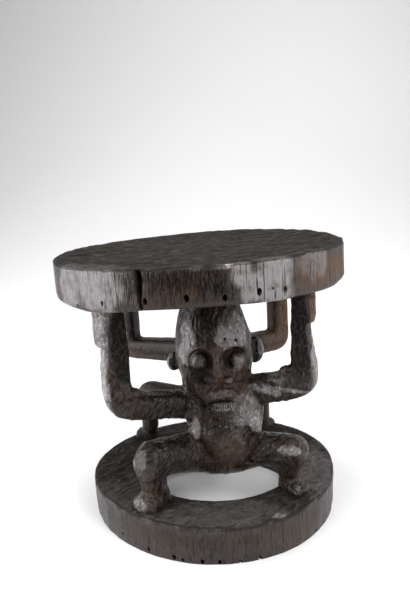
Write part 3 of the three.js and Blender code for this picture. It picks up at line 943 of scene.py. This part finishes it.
# What is hollowed out of the finished faces: mouths, ear bowls, nostrils and worm holes
def hollowForms(facing):
    def hollow(place, half, sides=36, down=24):
        return egg(onBody(facing, *place), shares(*half), 0, sides, down)

    own = figures[facing]
    forms = [hollow((mouth["right"], 0.335, mouth["height"] - 0.001), mouth["opening"])]
    for right, height, wide, tall, bowl in own["ears"]:
        place, half = (right * 1.04, 0.152, height - 0.003), (wide * bowl, 0.022, tall * bowl)
        forms.append(hollow(place, half, 20, 14))
    forms += [hollow((right, 0.345, 0.55), (0.009, 0.014, 0.008), 14, 10) for right in (-0.026, 0.052)]
    return forms + [hollow(place, (0.0058, 0.04, 0.0072), 12, 8) for place in own["holes"]]


# Teeth: thin pegs set round the curve of the jaw
def toothForms(facing):
    m = mouth
    forms = []
    for i in range(m["teeth"]):
        place = (i - (m["teeth"] - 1) / 2) / m["teeth"]
        out = m["rowOut"] - place**2 * m["bowBack"]
        height = m["height"] - m["rowDown"] + place**2 * m["bowUp"]
        middle = onBody(facing, m["right"] + place * m["row"], out, height)
        lift = np.array([0, 0, m["toothHalf"] * figureHeight])
        path = [middle - lift, middle, middle + lift]
        sizes = [shares(*m["toothSize"])] * 3
        forms.append(sweep(path, sizes, (1, 0, 0), power=3, rings=5, sides=12, dome=0.6))
    return forms


def joinedInto(obj, other):
    with bpy.context.temp_override(active_object=obj, selected_editable_objects=[obj, other]):
        bpy.ops.object.join()


toolMarks = {
    "cuts": (
        ((16, 16, 24), 2.4, 0.4, 31),
        ((6.5, 6.5, 11), 1.0, 0.35, 32),
        ((3.6, 3.6, 15), 0.5, 0.35, 34),
    ),
    "grain": (((3, 3, 24), 0.2, 33),),
    "calmBehind": 0.7,  # share by which the marks grow shallower on the back figure
    "behind": (15, 50),  # mm along y over which that begins
    "flatLevel": 62,  # percent of the surface near a knife flat that lies under its level
}
bodyMesh = {
    "voxel": 2.2,  # mm, for the limbs and trunks
    "fineVoxel": 1.6,  # mm, for sockets and features
    "easeBlock": 4,  # rounds of smoothing before and after the features
    "easeWhole": 2,
    "triangles": 120000,
}

# Broad flats left by the knife: place on the surface, the way each faces as a turn from the
# front and a lift in degrees, and reach in mm
knifeFlats = [
    (onFront(-0.125, 0.28, 0.74), -46, 14, 26),
    (onFront(0.09, 0.3, 0.8), 27, 18, 30),
    (onFront(0.165, 0.3, 0.4), 24, 12, 28),
    (onFront(-0.11, 0.3, 0.34), -48, 8, 20),
    (onFront(-0.37, 0.43, 0.27), -46, 22, 20),
    (onFront(0.32, 0.44, 0.27), 26, 40, 22),
    (onFront(0.34, 0.47, 0.2), 20, -16, 22),
    (onFront(0.2, 0.31, 0.34), 52, 4, 20),
    (onFront(0.24, 0.3, 0.5), 25, 22, 22),
    (onFront(0.3, 0.36, 0.53), 25, 22, 22),
    (onFront(0.04, 0.36, 0.2), 5, -30, 30),
    (onFront(0.16, 0.33, 0.2), 40, -25, 24),
]


# Each flat planes off what stands above its level, which is set by the surface near its place
def cutFlats(points, out):
    for place, turn, lift, reach in knifeFlats:
        lift = math.radians(lift)
        face = around((0, 0), math.cos(lift), turn, math.sin(lift))
        far = np.linalg.norm(points - place, axis=1)
        near = (far < reach) & (out @ face > 0.5)
        if near.any():
            high = points @ face
            over = np.maximum(high - np.percentile(high[near], toolMarks["flatLevel"]), 0) * near
            points = points - np.outer(over * (1 - easeBetween(far, 0.8 * reach, reach)), face)
    return points


def ease(obj, rounds):
    setPoints(obj, eased(pointsOf(obj), edgesOf(obj), rounds))


# Both figures as one mesh: forms fused, sockets cut, features fused on, the surface tooled, and
# then the small hollows cut and the teeth set in
def makeFigures():
    skins = [spineForm()]
    for facing, own in figures.items():
        skins += [blockForm(facing, headSizes), blockForm(facing, trunkSizes, own["narrow"])]
        skins += [lapForm(facing)] + muscleForms(facing)
    for limb in limbSizes:
        skins += armForms(limb["facing"], limb["side"], limb["arm"])
        skins += legForms(limb["facing"], limb["side"], limb["leg"])
    body = objectFrom("figures", skins)
    fused(body, bodyMesh["voxel"])
    ease(body, bodyMesh["easeBlock"])
    hollows = eyeHollows + cheekHollows + (browHollow,)
    sockets = objectFrom("sockets", eggsOn(-1, hollows) + eggsOn(1, hollows))
    fused(sockets, bodyMesh["fineVoxel"])
    boolean(body, sockets, "DIFFERENCE")
    features = faceForms(-1) + faceForms(1) + earForms(-1) + earForms(1)
    joinedInto(body, objectFrom("features", features))
    fused(body, bodyMesh["fineVoxel"])
    ease(body, bodyMesh["easeWhole"])
    print("figures fused", len(body.data.vertices))
    points, out = pointsOf(body), eased(normalsOf(body), edgesOf(body), 4)
    push = cutDepth(points, toolMarks["cuts"]) + noiseHeight(points, toolMarks["grain"])
    push *= 1 - toolMarks["calmBehind"] * easeBetween(points[:, 1], *toolMarks["behind"])
    setPoints(body, cutFlats(points + out * push[:, None], out))
    thinned(body, bodyMesh["triangles"])
    boolean(body, objectFrom("hollows", hollowForms(-1) + hollowForms(1)), "DIFFERENCE")
    boolean(body, objectFrom("teeth", toothForms(-1)), "UNION")
    print("figures tooled", len(body.data.vertices))
    return body


# Cuts

# Old split in the seat's rim: turn in degrees, and in mm half width at the foot and the top,
# lean of its line, start outside the rim, reach inwards, low and high end, and how far the top
# slopes down inwards. The outline in plan is in shares of the reach and the half width.
split = {
    "turn": -21.0,
    "wide": (3.2, 7.0),
    "lean": -2.5,
    "start": 220,
    "reach": 32,
    "low": 340,
    "high": 417,
    "slope": 14,
    "outline": ((0, -1), (0, 1), (0.5, 0.55), (1, 0.04), (1, -0.04), (0.5, -0.5)),
}

# Worm holes: degrees round from the front, height and radius, mm
wormHoles = {
    "seat": (
        (-62.9, 360.5, 1.6), (-48.8, 360, 2.0), (-36.1, 367.8, 2.6), (-19.7, 372, 3.0), (-5.7, 374, 3.5),
        (7.3, 372, 3.0), (19.6, 375, 3.6), (24.9, 377, 1.4), (29.8, 373.7, 2.9), (-13, 386, 1.0),
    ),
    "ring": (
        (-49.7, 12, 1.8), (-33.7, 6.5, 2.6), (-21, 5.5, 2.7), (-17.2, 4.0, 2.1), (-8.8, 4.6, 2.7),
        (-1.8, 3.8, 2.6), (6.5, 2.4, 2.2), (14.7, 2.4, 2.4), (45.9, 3.0, 2.0),
    ),
}
# Their bores, from outside the side to inside it, going up as they go in. Those with a radius
# up to "small" are rounder.
bore = {
    "outside": 5, "inside": 13, "down": 0.6, "up": 2.2, "turn": 0.6, "small": 1.3, "tall": (1.1, 1.5),
}


# Split: a thin blade, its line bent by two sines up the height, that narrows inwards
def splitForm():
    s = split
    t = np.linspace(0, 1, 26)
    wander = s["lean"] * t + 0.5 * np.sin(t * 9) + 0.4 * np.sin(t * 23 + 1)
    reach = s["reach"] * (0.75 + 0.15 * np.cos(t * 5))
    foot, top = s["wide"]
    wide = foot + (top - foot) * easeBetween(t, 0.2, 0.8) + 0.4 * np.sin(t * 11)
    out, across = around((0, 0), 1, s["turn"]), around((0, 0), 1, s["turn"] + 90)
    rim = around(places["seatCentre"], s["start"], s["turn"])
    columns = []
    for deep, side in s["outline"]:
        shift = wander * (1 - 0.5 * deep) + wide * side
        height = s["low"] + (s["high"] - s["low"] - s["slope"] * deep) * t
        columns.append(
            rim - np.outer(reach * deep, out) + np.outer(shift, across) + np.outer(height, (0, 0, 1))
        )
    return skin(np.stack(columns, 1))


# Worm holes: short blind bores with a rounded end
def holeForms():
    forms = []
    for name, place, sizes in (("seat", "seatCentre", seatSizes), ("ring", "ringCentre", ringSizes)):
        centre, radius = places[place], sizes["radius"]
        for turn, height, size in wormHoles[name]:
            start = around(centre, radius + bore["outside"], turn, height - bore["down"])
            end = around(centre, radius - bore["inside"], turn + bore["turn"], height + bore["up"])
            section = [(size, size * bore["tall"][size > bore["small"]])] * 3
            path, across = straight(start, end), around((0, 0), 1, turn + 90)
            forms.append(sweep(path, section, across, power=2, rings=4, sides=12, dome=0.7))
    return forms


# Finish

# Places on the outside of the seat and the ring, in mm
def onSeat(turn, height=386.0, radius=213):
    return around(places["seatCentre"], radius, turn, height)


def onRing(turn, height, radius=192):
    return around(places["ringCentre"], radius, turn, height)


# Patches of the old finish and of painted light and shade: middle and radii in mm, strength, and
# for some the turn from the front, in degrees, that the patch's faces look towards. The grey ones
# are partly worn silvery wood and partly painted highlight where their faces look towards the lamps, the
# black ones painted shade, chip bare wood and warm brown.
patches = {
    # Grey: worn silvery wood, and painted highlight on the seat's sides and on the faces held to a turn
    # towards the lamps
    "greyWearAndSheen": [
        (onSeat(-53), (36, 36, 60), 0.9),
        (onSeat(-37), (36, 36, 60), 1.0),
        (onSeat(14, 404), (18, 18, 18), 1.35),
        (onSeat(18.5, 384), (18, 18, 26), 1.35),
        (onSeat(27), (32, 32, 60), 1.35),
        (onSeat(-1, 414), (14, 14, 5), 0.8),
        (onSeat(7, 414), (14, 14, 5), 1.0),
        (onSeat(44, 402), (30, 30, 22), 0.5),
        (onRing(75, 58, 160), (70, 100, 10), 0.33),
        (onRing(0, 58, 160), (110, 44, 10), 0.2),
        (onRing(-62, 58, 165), (70, 60, 10), 0.12),
        (onFront(0.02, 0.32, 0.443), (22, 14, 6), 0.9),
        ((115, -130, 125), (18, 20, 9), 0.9),
        ((124, -136, 70), (8, 22, 9), 0.55),
        (onFront(-0.035, 0.335, 0.588), (7, 8, 5), 0.4),
        (onFront(0.057, 0.33, 0.577), (7, 8, 5), 0.4),
        ((-120, -142, 124), (15, 18, 14), 0.9, -40),
        ((-108, -150, 68), (18, 20, 12), 0.45),
        ((80, -115, 214), (32, 34, 7), 1.0, 10),
        ((122, -122, 221), (26, 34, 7), 1.0, 10),
        ((100, -108, 237), (38, 34, 9), 0.45),
        ((150, -135, 270), (14, 24, 50), 0.8, 60),
        (onFront(0.1, 0.3, 0.8), (28, 34, 28), 1.0, 24),
        (onFront(-0.13, 0.28, 0.735), (14, 30, 34), 1.0, -42),
        (onFront(0.15, 0.3, 0.42), (24, 22, 28), 0.7),
        (onFront(0.182, 0.3, 0.35), (11, 22, 19), 1.0),
        (onFront(-0.11, 0.3, 0.34), (7, 22, 20), 0.8),
        (onFront(-0.225, 0.125, 0.64), (6, 16, 14), 0.8),
        (onFront(0.235, 0.125, 0.67), (6, 16, 16), 0.7),
        (onFront(0.02, 0.35, 0.51), (30, 12, 8), 0.3),
        (onFront(0.107, 0.31, 0.66), (12, 14, 11), 0.6),
        (onFront(-0.08, 0.31, 0.66), (12, 14, 12), 0.25),
        ((-139, -150, 325), (20, 20, 40), 1.0, -45),
        ((-142, -138, 258), (20, 26, 56), 1.0, -68),
    ],
    # Painted shade: black on the faces turned away from the lamps, under the thighs, in and under the
    # eye sockets and inside a shin
    "paintedShade": [
        ((-108, -146, 300), (24, 24, 72), 1.0, 22),
        ((122, -148, 302), (24, 26, 62), 1.0, -30),
        ((-60, -130, 140), (60, 34, 26), 0.55),
        ((-70, -125, 195), (50, 34, 24), 0.5),
        ((-60, -125, 105), (45, 24, 20), 0.7),
        (onFront(-0.076, 0.3, 0.588), (20, 24, 13), 0.85),
        (onFront(-0.033, 0.3, 0.665), (7, 20, 16), 0.9),
        (onFront(0.056, 0.3, 0.67), (9, 20, 15), 0.8),
        ((92, -100, 90), (10, 26, 26), 0.9),
    ],
    "chip": [
        (onSeat(9.2, 415, 212), (8, 8, 6), 2.0),
        (onRing(7, 54), (8, 4, 1.5), 0.35),
        (onRing(25, 56, 193), (14, 8, 1.2), 0.35),
    ],
    "warm": [
        (onSeat(58, 372), (64, 64, 38), 1.2),
        (onSeat(38), (14, 14, 34), 0.9),
        (onSeat(30.5, 380), (6, 6, 14), 0.9),
        (onSeat(-10, 370), (60, 60, 20), 0.3),
        (onSeat(-66, 372), (20, 20, 16), 0.6),
        (onRing(-30, 22), (60, 60, 26), 0.3),
        (onRing(30, 22), (60, 60, 30), 0.3),
        (onFront(0.01, 0.34, 0.57), (12, 12, 10), 1.0),
        (onFront(0.03, 0.3, 0.6), (60, 44, 54), 0.25),
        (onFront(0.05, 0.31, 0.735), (16, 14, 8), 0.8),
        (onFront(-0.01, 0.32, 0.66), (8, 14, 30), 0.6),
        (onFront(0.045, 0.34, 0.19), (36, 40, 34), 0.5),
        ((-92, -128, 88), (12, 26, 34), 0.5),
        ((-139, -146, 350), (18, 18, 12), 0.6),
        ((144, -147, 335), (14, 14, 30), 1.0, 40),
        ((152, -118, 285), (14, 18, 40), 0.5),
        ((139.1, 110.4, 266.5), (70, 70, 90), 0.9),
        (onSeat(-134, 222, 172), (34, 34, 30), 0.6),
    ],
}


# Share of the patches at each point: one minus an eased step over the distance from a patch's
# middle, in radii and broken up by noise, times its strength. Where a turn is given, it is held
# to the faces that look that way.
def patchShare(points, out, rows, noise):
    most = np.zeros(len(points))
    for centre, radii, strength, *turn in rows:
        far = np.linalg.norm((points - centre) / radii, axis=1) + noise
        share = strength * (1 - easeBetween(far, 0.65, 1.15))
        # A turn keeps a patch on the faces that look one way: for the grey and black patches this paints
        # highlight and shade by how the faces meet the lamps
        if turn:
            share *= easeBetween(out @ around((0, 0), 1, turn[0]), 0.35, 0.65)
        most = np.maximum(most, share)
    return most


# Tool marks: their sizes in mm, and the heights between which those on the bodies lie aslant
markSizes = {
    "ring": (7.5, 22, 30),
    "seat": (26, 11, 1),
    "fibre": (2.4, 2.4, 15),
    "body": (5.5, 7, 12),
    "slant": 0.8,  # radians
    "slantFrom": 100,
    "slantTo": 225,
}


# Coordinates for the tool marks, one step to a mark: the strokes laid on the ring, scoops across
# the seat, upright fibres down their sides, and stubby cuts over the figures
def strokePlaces(points, side, flat):
    m = markSizes
    x, y, z = points.T
    drift = 5 * softNoise(points, (26, 26, 26), 52)
    ring = laidStrokes(points - [*places["ringCentre"], 0])
    seat = points @ seatSlant * [1, 1, 0] + np.outer(drift, (0, 1, 0))
    slant = np.where((z > m["slantFrom"]) & (z < m["slantTo"]), m["slant"], 0.0)
    across, along = x * np.cos(slant) - z * np.sin(slant), x * np.sin(slant) + z * np.cos(slant)
    body = np.stack([across + drift, y, along + 2 * drift], 1)
    level = np.where((z < m["slantFrom"])[:, None], ring / m["ring"], seat / m["seat"])
    upright = np.where((side > 0.5)[:, None], points / m["fibre"], body / m["body"])
    return np.where((flat > 0.5)[:, None], level, upright)


# Wear by relief
wear = {
    "rounds": (4, 30),  # of easing, near and wide
    "weights": (1.6, 0.5),
    "proud": (0.7, 0.25),  # share worn per mm that a point stands proud, less what is let pass
    "sunk": (0.7, 0.2),
}


# Point attributes for the finish. Worn and hollow: how far a point stands proud of its eased
# surroundings, near and wide, or lies under them. Then the patches, behind for the back figure,
# side and flat for what is upright and what faces up on the seat and the ring, and the places of
# the tool marks.
def markFinish(obj):
    points, out, edges = pointsOf(obj), normalsOf(obj), edgesOf(obj)
    stand = sum(
        ((points - eased(points, edges, rounds)) * out).sum(1) * weight
        for rounds, weight in zip(wear["rounds"], wear["weights"])
    )
    noise = noiseHeight(points, (((16, 16, 24), 0.3, 41), ((4, 4, 12), 0.15, 42)))
    smooth = eased(out, edges, 6)
    up = easeBetween(out[:, 2], 0.55, 0.85)
    height = points[:, 2]
    onBoth = np.maximum(easeBetween(height, 352, 358), 1 - easeBetween(height, 54, 58))
    onTops = np.maximum(easeBetween(height, 395, 400), 1 - easeBetween(height, 58, 62))
    values = {name: patchShare(points, smooth, rows, noise) for name, rows in patches.items()}
    values["greyWearAndSheen"] *= 1 - 0.8 * up * easeBetween(height, 390, 400)
    values["worn"] = np.clip(stand * wear["proud"][0] - wear["proud"][1], 0, 1) * (1 - 0.8 * up)
    values["hollow"] = np.clip(-stand * wear["sunk"][0] - wear["sunk"][1], 0, 1)
    values["behind"] = easeBetween(points[:, 1], 10, 50)
    values["side"] = (1 - up) * onBoth
    values["flat"] = up * onTops
    for name, value in values.items():
        layer = obj.data.attributes.new(name, "FLOAT", "POINT")
        layer.data.foreach_set("value", value.astype(np.float32))
    strokes = strokePlaces(points, values["side"], values["flat"])
    layer = obj.data.attributes.new("stroke", "FLOAT_VECTOR", "POINT")
    layer.data.foreach_set("vector", strokes.astype(np.float32).ravel())


woodLook = {
    # Near-black of the wood, also used for painted shade
    "dark": (0.0055, 0.004, 0.0033),
    "brown": (0.028, 0.0175, 0.0125),
    # Grey of worn silvery wood, also used for painted highlight
    "greyWearAndSheen": (0.255, 0.234, 0.236),
    "warm": (0.085, 0.043, 0.02),
    "dust": (0.0078, 0.0064, 0.0056),
    # Pale colour of scuffed ridges, also painted glint
    "scuffAndGlint": (0.09, 0.08, 0.073),
    # Pale specks that stand in for glints
    "glintSpeck": (0.5, 0.49, 0.5),
    "rubbed": (0.06, 0.05, 0.046),
    "chip": (0.5, 0.46, 0.42),
    "gloss": 0.22,
    "roughness": {
        "dark": 0.22, "brown": 0.34, "warm": 0.5, "hollow": 0.6, "glintSpeck": 0.2, "flat": 0.95,
    },
    "grainSize": (0.0012, 0.014),  # metres across and up
    "fissureSize": (0.0026, 0.045),
    "grainBump": (0.25, 0.0006),  # strength, and depth in metres
    "mottleBump": (0.6, 0.0016),
    "scoopBump": (0.8, 0.0018),
}


# Old wood: near-black and brown in broad patches, dusty on the tops and warmer in places, times
# the grain's streaks and the strokes' blotches. Over it lie, each by its own share: rubbed wood,
# silver grey wear with painted highlight and painted glints in pale specks, painted shade in black, dust
# in the hollows, fissures down the sides, scuffs with painted glints on the ridges between strokes, and
# chips. The relief is grain, then mottling, then the scoops.
def oldWood():
    look, rough = woodLook, woodLook["roughness"]
    wood = bpy.data.materials.new("oldWood")
    wood.use_nodes = True
    tree = wood.node_tree
    shader = tree.nodes["Principled BSDF"]

    def colourOf(value):
        return (*(value if isinstance(value, tuple) else [value] * 3), 1)

    # Links a node's output into a socket, or sets the socket to a number or a colour
    def fill(socket, value):
        if isinstance(value, bpy.types.NodeSocket):
            tree.links.new(value, socket)
        else:
            socket.default_value = colourOf(value) if socket.type == "RGBA" else value

    def node(kind, output, **values):
        made = tree.nodes.new("ShaderNode" + kind)
        for key, value in values.items():
            if key in made.inputs:
                fill(made.inputs[key], value)
            else:
                setattr(made, key, value)
        return made.outputs[output]

    def maths(kind, *values):
        made = tree.nodes.new("ShaderNodeMath")
        made.operation = kind
        for socket, value in zip(made.inputs, values):
            fill(socket, value)
        return made.outputs["Value"]

    def times(*values):
        return maths("MULTIPLY", *values)

    def most(*values):
        return maths("MAXIMUM", *values)

    def blend(share, low, high, kind="MIX"):
        return node("Mix", "Result", data_type="RGBA", blend_type=kind, Factor=share, A=low, B=high)

    def ramp(source, *stops):
        made = tree.nodes.new("ShaderNodeValToRGB")
        for element, (at, value) in zip(made.color_ramp.elements, stops):
            element.position = at
            element.color = colourOf(value)
        fill(made.inputs["Fac"], source)
        return made.outputs["Color"]

    def noise(vector, scale, detail, roughness):
        return node("TexNoise", "Fac", Vector=vector, Scale=scale, Detail=detail, Roughness=roughness)

    def drawnOut(across, along):
        return node("Mapping", "Vector", Vector=place, Scale=(1 / across, 1 / across, 1 / along))

    def share(name):
        return node("Attribute", "Fac", attribute_name=name)

    place = node("TexCoord", "Object")
    stroke = node("Attribute", "Vector", attribute_name="stroke")
    worn, hollow, greyWearAndSheen, warm = share("worn"), share("hollow"), share("greyWearAndSheen"), share("warm")
    paintedShade, side, flat, behind = share("paintedShade"), share("side"), share("flat"), share("behind")
    grain = noise(drawnOut(*look["grainSize"]), 1.0, 5.0, 0.65)
    fissures = noise(drawnOut(*look["fissureSize"]), 1.0, 2.0, 0.5)
    patch, cloud = noise(place, 14.0, 4.0, 0.6), noise(place, 70.0, 3.0, 0.6)
    speck = noise(place, 260.0, 3.0, 0.6)
    mottle, glint = noise(stroke, 1.5, 2.0, 0.5), noise(stroke, 3.6, 1.5, 0.5)
    scoop = node("TexVoronoi", "Distance", Vector=stroke, Scale=1.0)
    edge = node("TexVoronoi", "Distance", feature="DISTANCE_TO_EDGE", Vector=stroke, Scale=1.0)

    colour = ramp(patch, (0.35, look["dark"]), (0.7, look["brown"]))
    colour = blend(times(flat, 0.6), colour, look["dust"])
    colour = blend(times(warm, ramp(speck, (0.3, 0.5), (0.6, 1.0))), colour, look["warm"])
    blotch = blend(times(side, 0.6), ramp(mottle, (0.3, 0.45), (0.68, 1.7)), 1.0)
    colour = blend(1.0, colour, times(ramp(grain, (0.3, 0.5), (0.7, 1.4)), blotch), "MULTIPLY")
    colour = blend(times(worn, ramp(grain, (0.35, 0.1), (0.6, 0.7))), colour, look["rubbed"])
    # Silver grey of wear and of painted highlight, broken into painted glints over the figures' facets
    broken = maths("ADD", greyWearAndSheen, times(mottle, 0.9))
    facetGlints = times(ramp(broken, (0.65, 0.15), (1.0, 1.0)), ramp(glint, (0.36, 0.45), (0.62, 1.15)))
    silverAndSheen = times(greyWearAndSheen, blend(most(side, flat), facetGlints, 0.9))
    colour = blend(times(silverAndSheen, ramp(cloud, (0.35, 0.5), (0.55, 1.05))), colour, look["greyWearAndSheen"])
    # Painted glints: pale specks scattered over the grey on the figures
    glintSpeck = times(greyWearAndSheen, maths("SUBTRACT", 1.0, side))
    colour = blend(times(glintSpeck, ramp(speck, (0.58, 0.0), (0.66, 0.7))), colour, look["glintSpeck"])
    # Painted shade, laid on in the dark colour
    colour = blend(paintedShade, colour, look["dark"])
    colour = blend(times(hollow, ramp(speck, (0.45, 0.0), (0.75, 0.4))), colour, look["warm"])
    colour = blend(times(side, ramp(fissures, (0.33, 0.9), (0.42, 0.0))), colour, look["dark"])
    # Pale lines on the ridges between strokes: partly scuffed wear, partly painted glints
    ridge = times(ramp(edge, (0.03, 1.0), (0.14, 0.0)), ramp(mottle, (0.42, 0.0), (0.6, 1.0)))
    colour = blend(times(ridge, maths("ADD", times(flat, 0.15), 0.3)), colour, look["scuffAndGlint"])
    colour = blend(times(share("chip"), ramp(speck, (0.4, 0.0), (0.5, 1.0))), colour, look["chip"])
    fill(shader.inputs["Base Color"], colour)

    matt = ramp(patch, (0.3, rough["dark"]), (0.7, rough["brown"]))
    matt = blend(warm, matt, rough["warm"])
    matt = blend(most(hollow, times(behind, 0.6)), matt, rough["hollow"])
    matt = blend(glintSpeck, matt, rough["glintSpeck"])
    matt = blend(most(flat, ramp(paintedShade, (0.6, 0.0), (0.95, 1.0))), matt, rough["flat"])
    fill(shader.inputs["Roughness"], times(matt, ramp(mottle, (0.3, 0.8), (0.7, 1.25))))
    shader.inputs["Specular IOR Level"].default_value = look["gloss"]

    shallow = maths("SUBTRACT", 1.0, times(most(side, behind), 0.65))
    scooped = times(scoop, maths("ADD", shallow, times(flat, 0.9)))
    normal = shader.inputs["Normal"]
    for name, height in (("scoopBump", scooped), ("mottleBump", mottle), ("grainBump", grain)):
        bump = tree.nodes.new("ShaderNodeBump")
        for key, value in zip(("Strength", "Distance", "Height"), (*look[name], height)):
            fill(bump.inputs[key], value)
        fill(normal, bump.outputs["Normal"])
        normal = bump.inputs["Normal"]
    return wood


# Whole stool

stool = makeFigures()
seat = makeSeat()
ring = makeRing()
for obj in (stool, seat, ring):
    print(obj.name, len(obj.data.vertices), len(obj.data.polygons))
boolean(stool, ring, "UNION")
boolean(stool, seat, "UNION")
boolean(stool, objectFrom("cuts", [splitForm()] + holeForms()), "DIFFERENCE")
stool.name = "carvedStool"
print("stool joined", len(stool.data.vertices), trianglesIn(stool))
markFinish(stool)
stool.data.materials.clear()
stool.data.materials.append(oldWood())
stool.data.shade_smooth()
stool.data.set_sharp_from_angle(angle=math.radians(50))
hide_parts("stool")
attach(stool, "root")
